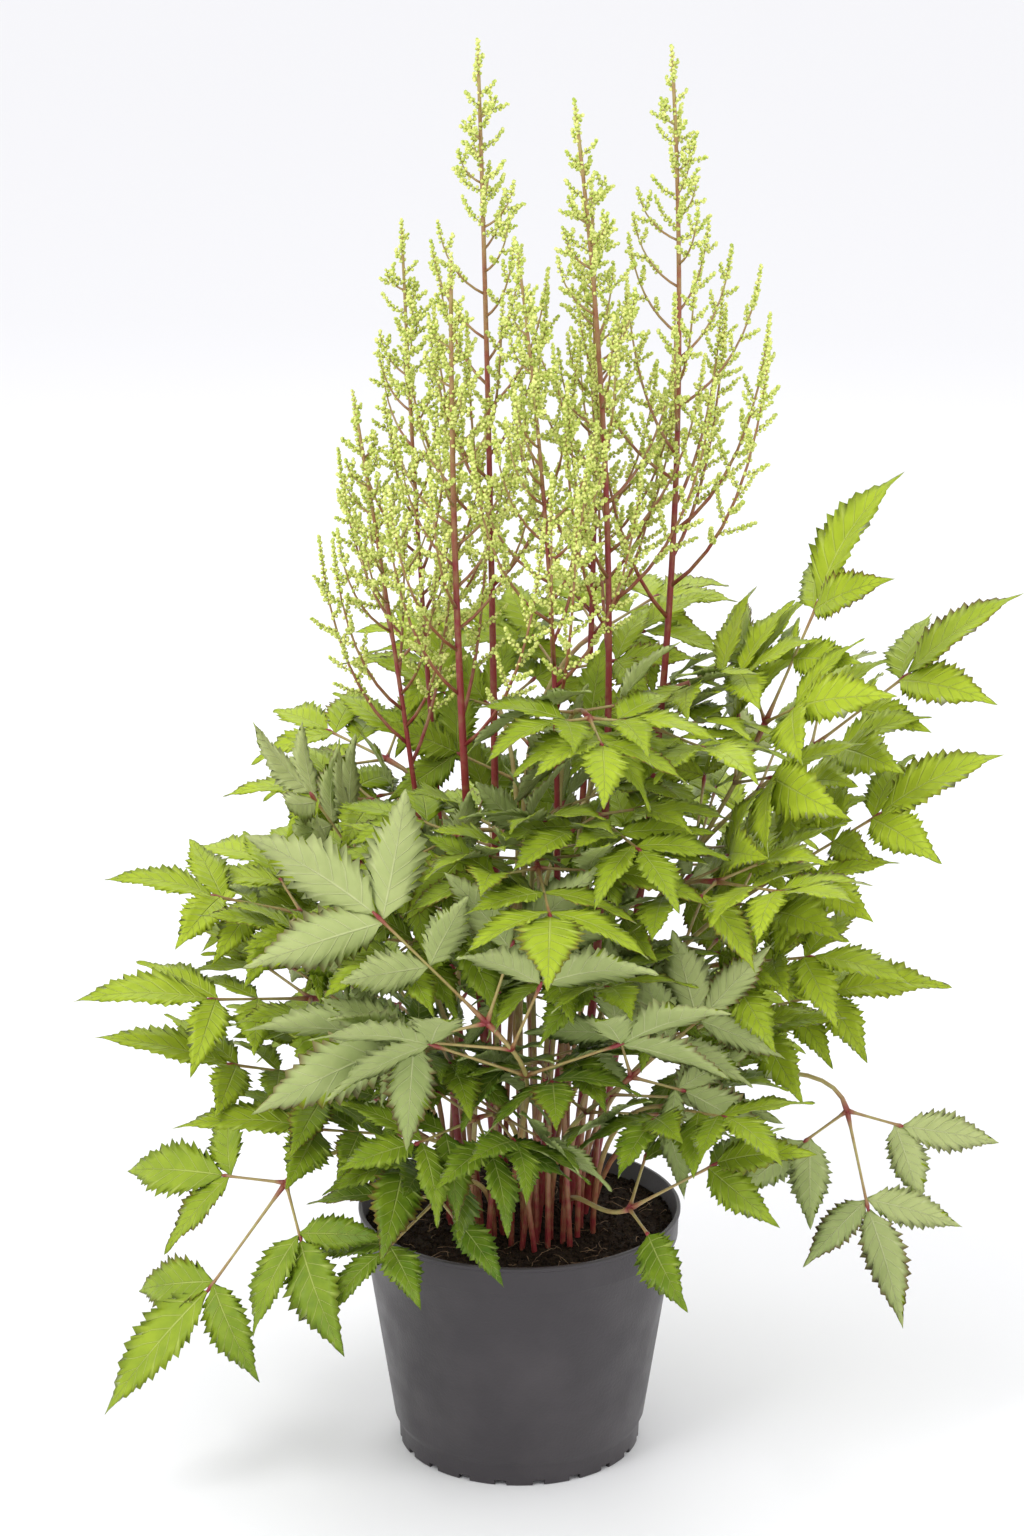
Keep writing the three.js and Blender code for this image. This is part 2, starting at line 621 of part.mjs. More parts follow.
// Pitch, yaw and roll in degrees that a leaflet may take to get clear, the gentlest first.
const BENDS = [
  [0, 0, 0],
  [10, 0, 0],
  [-10, 0, 0],
  [0, 10, 0],
  [0, -10, 0],
  [18, 0, 12],
  [-18, 0, -12],
  [18, 0, -12],
  [-18, 0, 12],
  [12, 14, 0],
  [12, -14, 0],
  [-12, 14, 0],
  [-12, -14, 0],
  [30, 0, 0],
  [-30, 0, 0],
  [0, 0, 26],
  [0, 0, -26],
  [24, 20, 0],
  [24, -20, 0],
  [-24, 20, 0],
  [-24, -20, 0],
  [42, 0, 0],
  [-42, 0, 0],
];
const SHRINKS = [1, 0.84, 0.7, 0.58];
const ROOT_SHARE = 0.14; // how much of a leaflet may meet its own stalk and neighbours

function bent(leaflet, [pitch, yaw, roll], shrink) {
  const across = cross(leaflet.up, leaflet.along);
  let along = turned(leaflet.along, across, -degrees(pitch));
  let up = turned(leaflet.up, across, -degrees(pitch));
  along = turned(along, up, degrees(yaw));
  up = turned(up, along, degrees(roll));
  return { ...leaflet, along, up, length: leaflet.length * shrink, width: leaflet.width * shrink };
}

function settledLeaflet(leaflet, owner) {
  for (const shrink of SHRINKS)
    for (const bend of BENDS) {
      const tried = bent(leaflet, bend, shrink);
      const [whole, free] = [0, ROOT_SHARE].map((start) =>
        shapeOf(blade(tried, TEST_OUTLINE, BLADE_THICKNESS, start, TEST_MARGIN)),
      );
      const meetsOwn = placed.some((p) => p.owner === owner && crossing(free, p.free));
      if (!meetsOwn && isClear([whole], owner)) {
        place([whole], owner, [free]);
        return tried;
      }
    }
  return null;
}

// ---------- Layout: everything finds its place once ----------

const ring = (radius, z, n) =>
  Array.from({ length: n }, (_, k) => {
    const angle = (2 * Math.PI * k) / n;
    return [radius * Math.cos(angle), radius * Math.sin(angle), z];
  });

// The pot's outside and the peat's surface, as the leaflets have to clear them.
const BERTH = 3;

function potWallShape() {
  const n = 16;
  const rim = ring(POT.rimRadius + BERTH, POT.height + 1, n);
  const points = [...ring(POT.footRadius + BERTH, 0, n), ...rim];
  const triangles = [];
  for (let k = 0; k < n; k++) {
    const next = (k + 1) % n;
    triangles.push([k, next, n + k], [next, n + next, n + k]);
  }
  return shapeOf({ points, triangles });
}

function peatShape() {
  const n = 16;
  const points = [...ring(POT.rimRadius, PEAT_TOP + BERTH + 1, n), [0, 0, PEAT_TOP + BERTH + 1]];
  return shapeOf({ points, triangles: points.slice(0, n).map((_, k) => [k, (k + 1) % n, n]) });
}

place([potWallShape()], "pot");

const stems = PANICLES.map((panicle, i) => {
  const { points, radii } = stemLine(panicle);
  const top = rod([points[points.length - 1], panicle.tip], TOP_ROOM, 4, [0, 1, 0]);
  const stem = rod(points, radii.map((r) => r + STEM_MARGIN), 4, [0, 1, 0]);
  place([shapeOf(stem), shapeOf(top)], i);
  return { points, radii };
});

const skeletons = LEAVES.map((leaf) => settledSkeleton(leaf));

const branches = PANICLES.map((panicle, i) =>
  branchesOf(panicle, i).flatMap((branch) => {
    for (const turn of BRANCH_TURNS) {
      const angle = branch.angle + degrees(turn);
      const tried = { ...branch, outward: [Math.cos(angle), Math.sin(angle), 0] };
      const shapes = branchShapes(tried);
      if (isClear(shapes, i)) {
        place(shapes, i);
        return [tried];
      }
    }
    return [];
  }),
);

place([peatShape()], "peat");

const leaflets = LEAVES.map((leaf, i) =>
  leafletsOf(skeletons[i], i)
    .slice(0, leaf.leaflets)
    .map((wanted) => settledLeaflet(wanted, leaf.name)),
);

// ---------- Solids ----------

function solidOf({ points, triangles }) {
  return new wasm.Manifold(
    new wasm.Mesh({
      numProp: 3,
      vertProperties: new Float32Array(points.flat()),
      triVerts: new Uint32Array(triangles.flat()),
    }),
  );
}

function solidOfGeometry(geometry) {
  geometry.deleteAttribute("normal");
  geometry.deleteAttribute("uv");
  const merged = mergeVertices(geometry, 1e-4);
  return new wasm.Manifold(
    new wasm.Mesh({
      numProp: 3,
      vertProperties: merged.attributes.position.array,
      triVerts: new Uint32Array(merged.index.array),
    }),
  );
}

// The pieces fused into one body; what stays loose of it is dropped.
function fused(solids) {
  const bodies = wasm.Manifold.union(solids).simplify(SIMPLIFY).decompose();
  return bodies.sort((a, b) => b.volume() - a.volume())[0];
}

function meshOf(name, solid, material) {
  const { vertProperties, triVerts } = solid.getMesh();
  const geometry = new THREE.BufferGeometry()
    .setAttribute("position", new THREE.BufferAttribute(vertProperties, 3))
    .setIndex(new THREE.BufferAttribute(triVerts, 1));
  geometry.computeVertexNormals();
  const mesh = new THREE.Mesh(geometry, material);
  mesh.name = name;
  return mesh;
}

const standing = (geometry) => geometry.rotateX(Math.PI / 2); // a lathe or cylinder made upright in Z

function potSolid() {
  const { height, rimRadius, wall, footHeight, footRadius, baseRadius, plateHeight } = POT;
  const collarFoot = height - POT.collarHeight;
  const lipFoot = height - POT.lipHeight;
  const shoulder = footHeight + POT.shoulder;
  const under = rimRadius - POT.collarStep;
  const profile = [
    [0, 0],
    [POT.padRadius, 0],
    [POT.padRadius, plateHeight],
    [footRadius - wall - 1, plateHeight],
    [footRadius - wall - 1, 0],
    [footRadius, 0],
    [footRadius + POT.footTaper, footHeight],
    [baseRadius, shoulder],
    [under - POT.collarUnder, collarFoot],
    [under, collarFoot + 1],
    [under + 0.4, lipFoot],
    [rimRadius, lipFoot + POT.lipOut],
    [rimRadius, height],
    [rimRadius - wall - 1, height],
    [baseRadius - wall, shoulder],
    [footRadius - wall, plateHeight + wall],
    [0, plateHeight + wall],
  ];
  const outline = profile.map(([r, z]) => new THREE.Vector2(r, z));
  const body = solidOfGeometry(standing(new THREE.LatheGeometry(outline, POT.segments)));
  const cuts = Array.from({ length: POT.notches }, (_, k) => {
    const cutter = new THREE.BoxGeometry(2 * POT.notchDepth, POT.notchWidth, 2 * POT.notchHeight);
    cutter.translate(footRadius, 0, 0).rotateZ((2 * Math.PI * (k + 0.5)) / POT.notches);
    return solidOfGeometry(cutter);
  });
  return body.subtract(wasm.Manifold.union(cuts));
}

// The peat fills the pot, with a low crumbled surface and a hole for each stalk that stands in it.
function peatSolid() {
  const shoulder = POT.footHeight + POT.shoulder;
  const wallAt = (z) => {
    const share = (z - shoulder) / (POT.height - shoulder);
    const top = POT.rimRadius - POT.wall - 1;
    return POT.baseRadius - POT.wall + (top - POT.baseRadius + POT.wall) * share - GAP;
  };
  const floor = POT.plateHeight + POT.wall + GAP;
  const profile = [
    [0, floor],
    [POT.footRadius - POT.wall - 1.5, floor],
    [wallAt(shoulder), shoulder],
    [wallAt(PEAT_TOP - 2), PEAT_TOP - 2],
    ...PEAT_RINGS.map((r) => [r, PEAT_TOP]),
    [0, PEAT_TOP],
  ].map(([r, z]) => new THREE.Vector2(r, z));
  const geometry = standing(new THREE.LatheGeometry(profile, POT.segments));
  const position = geometry.attributes.position;
  for (let i = 0; i < position.count; i++) {
    const [x, y, z] = [position.getX(i), position.getY(i), position.getZ(i)];
    if (z < PEAT_TOP - 0.5) continue;
    const relief = Math.sin(0.21 * x + 0.4) * Math.cos(0.17 * y) + 0.6 * Math.sin(0.13 * (x - y));
    position.setZ(i, z + PEAT_RELIEF * relief);
  }
  const holes = feet.map(([x, y], i) => {
    const stalk = i < PANICLES.length ? PANICLES[i].radius : PETIOLE_RADIUS;
    const radius = (stalk + HOLE_GAP) / Math.cos(Math.PI / 4);
    const hole = standing(new THREE.CylinderGeometry(radius, radius, HOLE_CUTTER, 4, 1));
    const floor = PEAT_TOP - FOOT_DEPTH - GAP;
    return solidOfGeometry(hole.translate(x, y, floor + HOLE_CUTTER / 2));
  });
  return solidOfGeometry(geometry).subtract(wasm.Manifold.union(holes));
}

function branchSolids(branch) {
  const sideways = cross(branch.outward, UP);
  const line = BRANCH_SECTIONS.map(([t]) => branchPoint(branch, t));
  const radii = BRANCH_SECTIONS.map(([, radius]) => radius);
  const axis = rod(line, radii, 3, sideways, true);
  const spikes = branchSpikes(branch).map((s) => {
    const at = (t) => add(s.root, scale(s.direction, s.length * t));
    return rod([at(0), at(0.5), at(1)], [0, SPIKELET_RADIUS, 0], 3, s.sideways);
  });
  return [axis, ...spikes];
}

function panicleSolid(panicle, i) {
  const { points, radii } = stems[i];
  const top = points[points.length - 1];
  const line = TOP_TIERS.map(([t]) => stemPoint(panicle, top[2] + SPIKE_LENGTH * t));
  const tiers = TOP_TIERS.map(([, radius]) => radius);
  const stem = rod([...points, ...line], [...radii, ...tiers], 4, [0, 1, 0]);
  return fused([stem, ...branches[i].flatMap(branchSolids)].map(solidOf));
}

function leafSolid(leaf, i) {
  const rods = stalks(skeletons[i], 0);
  const blades = leaflets[i]
    .map((l, slot) => l && blade(l, slot ? SMALL_OUTLINE : LARGE_OUTLINE, BLADE_THICKNESS, 0, 0))
    .filter(Boolean);
  return fused([...rods, ...blades].map(solidOf));
}

// ---------- Materials and the finished group ----------

const plastic = new THREE.MeshStandardMaterial({ color: 0x3b3a3d, roughness: 0.55, metalness: 0 });
const earth = new THREE.MeshStandardMaterial({ color: 0x2a1c14, roughness: 1, metalness: 0 });
const foliage = new THREE.MeshStandardMaterial({ color: 0x5b9422, roughness: 0.55, metalness: 0 });
const budding = new THREE.MeshStandardMaterial({ color: 0xa9bf52, roughness: 0.6, metalness: 0 });

const astilbe = new THREE.Group();
astilbe.add(meshOf("pot", potSolid(), plastic));
astilbe.add(meshOf("peat", peatSolid(), earth));
PANICLES.forEach((panicle, i) => {
  astilbe.add(meshOf("panicle_" + (i + 1), panicleSolid(panicle, i), budding));
});
LEAVES.forEach((leaf, i) => {
  astilbe.add(meshOf("leaf_" + leaf.name, leafSolid(leaf, i), foliage));
});

export default astilbe;
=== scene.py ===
"""A budding astilbe in its nursery pot, in a pale studio.

The plant grows by the same rules as the part's own source, so each finer stalk, leaflet and flower branch
lies where its plainer solid does. Plant sizes are in millimetres and are turned to metres as a mesh is made.
"""

import itertools
import math

import bpy
import numpy as np
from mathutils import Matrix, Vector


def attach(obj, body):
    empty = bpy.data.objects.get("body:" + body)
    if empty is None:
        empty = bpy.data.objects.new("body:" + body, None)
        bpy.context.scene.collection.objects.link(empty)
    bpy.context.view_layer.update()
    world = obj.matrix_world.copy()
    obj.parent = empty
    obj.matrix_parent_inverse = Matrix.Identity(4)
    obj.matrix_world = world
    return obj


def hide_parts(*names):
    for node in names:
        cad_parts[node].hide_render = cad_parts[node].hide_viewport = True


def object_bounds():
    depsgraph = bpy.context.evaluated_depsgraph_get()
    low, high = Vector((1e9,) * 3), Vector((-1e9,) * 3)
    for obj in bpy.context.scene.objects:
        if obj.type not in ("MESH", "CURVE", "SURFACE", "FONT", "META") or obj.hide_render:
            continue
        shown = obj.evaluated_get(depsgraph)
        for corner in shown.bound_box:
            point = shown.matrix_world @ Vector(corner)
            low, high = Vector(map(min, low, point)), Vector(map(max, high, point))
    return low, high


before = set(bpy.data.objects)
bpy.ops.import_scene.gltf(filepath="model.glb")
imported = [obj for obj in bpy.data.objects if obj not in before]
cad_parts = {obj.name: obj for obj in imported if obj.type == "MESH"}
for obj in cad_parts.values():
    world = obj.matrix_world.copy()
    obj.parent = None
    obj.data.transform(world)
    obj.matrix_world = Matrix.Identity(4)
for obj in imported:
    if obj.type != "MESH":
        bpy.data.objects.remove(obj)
frame_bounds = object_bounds()


# ---------- Camera, light and floor ----------
# A plain white studio: a camera a little above the plant, looking slightly down, one large soft light
# from the upper left, a weaker one from the right, and a floor that runs out into the white.

CAMERA_PLACE = (-0.0044, -2.024, 1.011)
CAMERA_TILT = math.radians(16.4)
CAMERA_LENS = 86.8
SENSOR_WIDTH = 36
SKY_COLOUR = (0.955, 0.955, 0.965, 1)
SKY_STRENGTH = 1.12
# name, place, what it is turned to, width of its disk, watts
LAMPS = [
    ("key", (-1.5, -1.6, 2.4), (0, 0, 0.4), 1.2, 34),
    ("fill", (1.9, -1.2, 1.5), (0, 0, 0.4), 1.6, 8),
    ("back", (0.3, 2.2, 2.2), (0, 0, 0.5), 1.6, 14),
]
FLOOR_COLOUR = (0.86, 0.86, 0.88, 1)
FLOOR_REACH = 14

camera_data = bpy.data.cameras.new("camera")
camera_data.lens = CAMERA_LENS
camera_data.sensor_width = SENSOR_WIDTH
camera = bpy.data.objects.new("camera", camera_data)
camera.location = CAMERA_PLACE
camera.rotation_euler = (math.pi / 2 - CAMERA_TILT, 0, 0)
bpy.context.collection.objects.link(camera)
bpy.context.scene.camera = camera
bpy.context.scene.view_settings.view_transform = "Standard"

world = bpy.data.worlds.new("studio")
world.use_nodes = True
background = world.node_tree.nodes["Background"]
background.inputs["Color"].default_value = SKY_COLOUR
background.inputs["Strength"].default_value = SKY_STRENGTH
bpy.context.scene.world = world


def soft_light(name, place, aim, size, power):
    data = bpy.data.lights.new(name, "AREA")
    data.shape = "DISK"
    data.size = size
    data.energy = power
    light = bpy.data.objects.new(name, data)
    light.location = place
    towards = np.array(aim) - np.array(place)
    light.rotation_euler = (
        math.acos(-towards[2] / np.linalg.norm(towards)),
        0,
        math.atan2(towards[1], towards[0]) - math.pi / 2,
    )
    bpy.context.collection.objects.link(light)


for lamp in LAMPS:
    soft_light(*lamp)

floor_material = bpy.data.materials.new("floor")
floor_material.use_nodes = True
floor_shader = floor_material.node_tree.nodes["Principled BSDF"]
floor_shader.inputs["Base Color"].default_value = FLOOR_COLOUR
floor_shader.inputs["Roughness"].default_value = 0.9
floor_mesh = bpy.data.meshes.new("floor")
floor_mesh.from_pydata(
    [(x * FLOOR_REACH, y * FLOOR_REACH, 0) for x, y in ((-1, -1), (1, -1), (1, 1), (-1, 1))],
    [],
    [(0, 1, 2, 3)],
)
floor_mesh.materials.append(floor_material)
floor = bpy.data.objects.new("floor", floor_mesh)
bpy.context.collection.objects.link(floor)


# ---------- Nursery pot ----------
# One thermoformed pot of thin charcoal plastic, satin, with a rolled rim, a collar, a stepped foot and
# notches round the foot. A finely turned outline, with the notches cut out of the foot.

POT_HEIGHT = 148
RIM_RADIUS = 95
COLLAR_HEIGHT = 18
COLLAR_STEP = 1.4
BASE_RADIUS = 74.5
FOOT_RADIUS = 71.5
FOOT_HEIGHT = 13
POT_WALL = 1.6
PLATE_HEIGHT = 4.5
PAD_RADIUS = 13
NOTCHES = 20
NOTCH_WIDTH = 7
NOTCH_HEIGHT = 3.2
NOTCH_DEPTH = 6  # how far a notch's cutter reaches to each side of the foot ring
POT_SIDES = 160
MM = 0.001


def made_object(name, points, faces, materials, slots=None, values=None, uvs=None, smooth=True):
    """A mesh object in metres from points in millimetres. values are named numbers, one for each point."""
    mesh = bpy.data.meshes.new(name)
    mesh.from_pydata((np.asarray(points) * MM).tolist(), [], [list(map(int, f)) for f in faces])
    for material in materials:
        mesh.materials.append(material)
    if slots is not None:
        mesh.polygons.foreach_set("material_index", np.asarray(slots, dtype=np.int32))
    for key, numbers in (values or {}).items():
        attribute = mesh.attributes.new(key, "FLOAT", "POINT")
        attribute.data.foreach_set("value", np.asarray(numbers, dtype=np.float32))
    if uvs is not None:
        corners = np.empty(len(mesh.loops), dtype=np.int32)
        mesh.loops.foreach_get("vertex_index", corners)
        layer = mesh.uv_layers.new(name="UVMap")
        layer.data.foreach_set("uv", np.asarray(uvs, dtype=np.float32)[corners].ravel())
    mesh.polygons.foreach_set("use_smooth", np.full(len(mesh.polygons), smooth))
    mesh.update()
    made = bpy.data.objects.new(name, mesh)
    bpy.context.collection.objects.link(made)
    return made


def turned_body(name, outline, sides, materials):
    """A solid of revolution from (radius, height) pairs that start and end on the axis."""
    points = [(0, 0, outline[0][1])]
    rings = []
    for radius, height in outline[1:-1]:
        angles = 2 * math.pi * np.arange(sides) / sides
        rings.append(np.arange(sides) + len(points))
        points += list(zip(radius * np.cos(angles), radius * np.sin(angles), np.full(sides, height)))
    points.append((0, 0, outline[-1][1]))
    after = (np.arange(sides) + 1) % sides
    faces = [(0, rings[0][k], rings[0][after[k]])[::-1] for k in range(sides)]
    for low, high in zip(rings, rings[1:]):
        faces += [(low[k], low[after[k]], high[after[k]], high[k]) for k in range(sides)]
    faces += [(rings[-1][k], rings[-1][after[k]], len(points) - 1) for k in range(sides)]
    return made_object(name, points, faces, materials)


def new_material(name, **constants):
    material = bpy.data.materials.new(name)
    material.use_nodes = True
    shader = material.node_tree.nodes["Principled BSDF"]
    for key, value in constants.items():
        shader.inputs[key.replace("_", " ")].default_value = value
    return material, material.node_tree, shader


def node(tree, kind, inputs=None, **settings):
    """A new node with its settings, its input values and its incoming links."""
    made = tree.nodes.new(kind)
    for key, value in settings.items():
        setattr(made, key, value)
    for key, value in (inputs or {}).items():
        if isinstance(value, bpy.types.NodeSocket):
            tree.links.new(value, made.inputs[key])
        else:
            made.inputs[key].default_value = value
    return made


def calculated(tree, operation, *values, clamp=False):
    """The result of a Math node on up to three numbers or sockets."""
    made = node(tree, "ShaderNodeMath", dict(enumerate(values)), operation=operation, use_clamp=clamp)
    return made.outputs[0]


def remapped(tree, value, low=0.0, high=1.0, to_low=0.0, to_high=1.0, curve="LINEAR"):
    """value taken from between low and high to between to_low and to_high, and held there."""
    limits = {"From Min": low, "From Max": high, "To Min": to_low, "To Max": to_high}
    made = node(tree, "ShaderNodeMapRange", {"Value": value, **limits}, interpolation_type=curve)
    return made.outputs["Result"]


def coordinates(tree):
    return tree.nodes.new("ShaderNodeTexCoord").outputs["Object"]


def stored(tree, name):
    return node(tree, "ShaderNodeAttribute", attribute_name=name).outputs["Fac"]


def colour_mix(tree, factor, first, second):
    mix = node(tree, "ShaderNodeMix", {"Factor": factor}, data_type="RGBA")
    for socket, value in ((mix.inputs[6], first), (mix.inputs[7], second)):
        if isinstance(value, bpy.types.NodeSocket):
            tree.links.new(value, socket)
        else:
            socket.default_value = (*value, 1)
    return mix.outputs[2]


def new_group(name, kind, inputs, outputs):
    """A node group, its incoming and its outgoing sockets. Each is given a kind, or the number it has."""
    tree = bpy.data.node_groups.new(name, kind)
    for way, sockets in (("INPUT", inputs), ("OUTPUT", outputs)):
        for key, given in sockets.items():
            number = not isinstance(given, str)
            socket_type = "NodeSocketFloat" if number else "NodeSocket" + given
            socket = tree.interface.new_socket(key, in_out=way, socket_type=socket_type)
            if number:
                socket.default_value = given
    return tree, tree.nodes.new("NodeGroupInput").outputs, tree.nodes.new("NodeGroupOutput").inputs


def mottle_group():
    """Soft cloudy patches from 0 to 1 at a named size, used by every material for its unevenness."""
    sizes = {"Size": 0.01, "Detail": 3.0, "Low": 0.35, "High": 0.65}
    tree, given, result = new_group("mottle", "ShaderNodeTree", sizes, {"Mask": "Float"})
    scale = calculated(tree, "DIVIDE", 1.0, given["Size"])
    patches = {"Vector": coordinates(tree), "Scale": scale, "Detail": given["Detail"]}
    noise = node(tree, "ShaderNodeTexNoise", patches)
    tree.links.new(remapped(tree, noise.outputs["Fac"], given["Low"], given["High"]), result["Mask"])
    return tree


MOTTLE = mottle_group()


def mottle(tree, size, detail=3.0, low=0.35, high=0.65):
    group = node(tree, "ShaderNodeGroup", node_tree=MOTTLE)
    for key, value in (("Size", size), ("Detail", detail), ("Low", low), ("High", high)):
        group.inputs[key].default_value = value
    return group.outputs["Mask"]


def paint(tree, shader, factor, first, second):
    """Colours a material by a mix of two colours."""
    tree.links.new(colour_mix(tree, factor, first, second), shader.inputs["Base Color"])


def bump(tree, shader, height, distance, strength=1.0):
    made = node(tree, "ShaderNodeBump", {"Height": height, "Distance": distance, "Strength": strength})
    tree.links.new(made.outputs["Normal"], shader.inputs["Normal"])


pot_plastic, tree, shader = new_material("pot plastic", Specular_IOR_Level=0.45)
dust = mottle(tree, 0.05, 6.0, 0.45, 0.75)
paint(tree, shader, dust, (0.038, 0.033, 0.037), (0.058, 0.051, 0.055))
sheen = remapped(tree, mottle(tree, 0.02, 4.0), to_low=0.38, to_high=0.5)
tree.links.new(sheen, shader.inputs["Roughness"])
bump(tree, shader, mottle(tree, 0.0015, 2.0), 0.00008, 0.6)


def pot_outline():
    """Radius and height of each corner, the small steps being the rounds on its edges."""
    collar_foot = POT_HEIGHT - COLLAR_HEIGHT
    under_rim = RIM_RADIUS - COLLAR_STEP
    inside_foot = FOOT_RADIUS - POT_WALL - 1
    return [
        (0, 0),
        (PAD_RADIUS - 0.4, 0),
        (PAD_RADIUS, 0.4),
        (PAD_RADIUS, PLATE_HEIGHT),
        (inside_foot, PLATE_HEIGHT),
        (inside_foot, 0.3),
        (inside_foot + 0.4, 0),
        (FOOT_RADIUS - 0.7, 0),
        (FOOT_RADIUS, 0.7),
        (FOOT_RADIUS + 0.4, FOOT_HEIGHT - 1.2),
        (FOOT_RADIUS + 1.0, FOOT_HEIGHT + 0.2),
        (BASE_RADIUS - 0.9, FOOT_HEIGHT + 2.4),
        (BASE_RADIUS + 0.1, FOOT_HEIGHT + 4.6),
        (under_rim - 2.0, collar_foot - 0.6),
        (under_rim - 1.6, collar_foot + 0.2),
        (under_rim - 0.2, collar_foot + 0.8),
        (under_rim, collar_foot + 1.6),
        (under_rim + 0.4, POT_HEIGHT - 3.2),
        (under_rim + 0.7, POT_HEIGHT - 2.9),
        (RIM_RADIUS - 0.4, POT_HEIGHT - 2.5),
        (RIM_RADIUS, POT_HEIGHT - 2.0),
        (RIM_RADIUS, POT_HEIGHT - 0.7),
        (RIM_RADIUS - 0.6, POT_HEIGHT),
        (RIM_RADIUS - POT_WALL - 0.4, POT_HEIGHT),
        (RIM_RADIUS - POT_WALL - 1, POT_HEIGHT - 0.6),
        (BASE_RADIUS - POT_WALL, FOOT_HEIGHT + 4),
        (FOOT_RADIUS - POT_WALL, PLATE_HEIGHT + POT_WALL),
        (0, PLATE_HEIGHT + POT_WALL),
    ]


def foot_notches():
    """One mesh of boxes, each standing across the foot ring."""
    points = []
    faces = []
    box = [(0, 3, 2, 1), (4, 5, 6, 7), (0, 1, 5, 4), (1, 2, 6, 5), (2, 3, 7, 6), (3, 0, 4, 7)]
    for k in range(NOTCHES):
        angle = 2 * math.pi * (k + 0.5) / NOTCHES
        first = len(points)
        for z in (-NOTCH_HEIGHT, NOTCH_HEIGHT):
            for r, s in ((-1, -0.5), (1, -0.5), (1, 0.5), (-1, 0.5)):
                radius = FOOT_RADIUS + r * NOTCH_DEPTH
                side = s * NOTCH_WIDTH
                x = radius * math.cos(angle) - side * math.sin(angle)
                y = radius * math.sin(angle) + side * math.cos(angle)
                points.append((x, y, z))
        faces += [tuple(first + i for i in f) for f in box]
    return made_object("notches", points, faces, [], smooth=False)


def baked(obj):
    """obj with its modifiers made real, then removed."""
    evaluated = obj.evaluated_get(bpy.context.evaluated_depsgraph_get())
    mesh = bpy.data.meshes.new_from_object(evaluated)
    obj.modifiers.clear()
    obj.data = mesh
    return obj


pot = turned_body("pot_fine", pot_outline(), POT_SIDES, [pot_plastic])
notches = foot_notches()
cut = pot.modifiers.new("notches", "BOOLEAN")
cut.operation = "DIFFERENCE"
cut.solver = "EXACT"
cut.object = notches
baked(pot)
bpy.data.objects.remove(notches)
pot.data.set_sharp_from_angle(angle=math.radians(40))
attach(pot, "root")
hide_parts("pot")


# ---------- Peat ----------
# The rootball: dark, moist, fibrous peat that fills the pot and is rough on top. One turned body with a
# crumbled surface, strewn by Geometry Nodes with crumbs, and a few pale fibres and roots on it.

PEAT_TOP = 137
GAP = 0.3
CRUMBS = 2000
CRUMB_SIZES = (0.0005, 0.0019)  # metres, as the Geometry Nodes take them
FIBRES = 150
FIBRE_RADIUS = 0.22
FIBRE_SPREAD = 86  # how far out fibres start
FIBRE_LIMIT = 88  # how far out they may reach
FIBRE_LIFT = 0.6
PEAT_RINGS = 46
PEAT_SIDES = 150
PEAT_INSET = 3.4  # from the inner edge of the pot's rim to the edge of the peat's top
PEAT_FLOOR_RADIUS = 66


def random_from(seed):
    """A seeded draw, the same on every run and in the part's own source."""
    state = [seed]

    def draw(low, high):
        state[0] = state[0] * 16807 % 2147483647
        return low + (high - low) * state[0] / 2147483647

    return draw


def around(sides):
    """Each side's number with that of the next one round."""
    return [(k, (k + 1) % sides) for k in range(sides)]


def peat_relief(x, y):
    """How far the top of the peat stands over or under its level there."""
    broad = np.sin(0.21 * x + 0.4) * np.cos(0.17 * y) + 0.6 * np.sin(0.13 * (x - y))
    fine = np.sin(0.83 * x + 1.1 * y) * np.cos(0.71 * y - 0.9 * x) + 0.7 * np.sin(1.9 * x) * np.sin(2.1 * y)
    return 1.1 * broad + 0.55 * fine


def peat_body(material):
    top_radius = RIM_RADIUS - POT_WALL - PEAT_INSET
    angles = 2 * math.pi * np.arange(PEAT_SIDES) / PEAT_SIDES
    points = [(0, 0, PEAT_TOP)]
    starts = []
    for i in range(1, PEAT_RINGS + 1):
        radius = top_radius * i / PEAT_RINGS
        x, y = radius * np.cos(angles), radius * np.sin(angles)
        fade = min(1.0, (PEAT_RINGS - i) / 3 + 0.1)
        starts.append(len(points))
        points += list(zip(x, y, PEAT_TOP + fade * peat_relief(x, y)))
    floor_height = PLATE_HEIGHT + POT_WALL + GAP
    foot_radius = BASE_RADIUS - POT_WALL - 0.6
    for radius, height in ((foot_radius, FOOT_HEIGHT + 6), (PEAT_FLOOR_RADIUS, floor_height)):
        starts.append(len(points))
        x, y = radius * np.cos(angles), radius * np.sin(angles)
        points += list(zip(x, y, np.full(PEAT_SIDES, height)))
    points.append((0, 0, floor_height))
    pairs = around(PEAT_SIDES)
    faces = [(0, starts[0] + k, starts[0] + n) for k, n in pairs]
    for a, b in zip(starts, starts[1:]):
        faces += [(a + k, b + k, b + n, a + n) for k, n in pairs]
    last = starts[-1]
    faces += [(last + n, last + k, len(points) - 1) for k, n in pairs]
    return made_object("peat_fine", points, faces, [material])


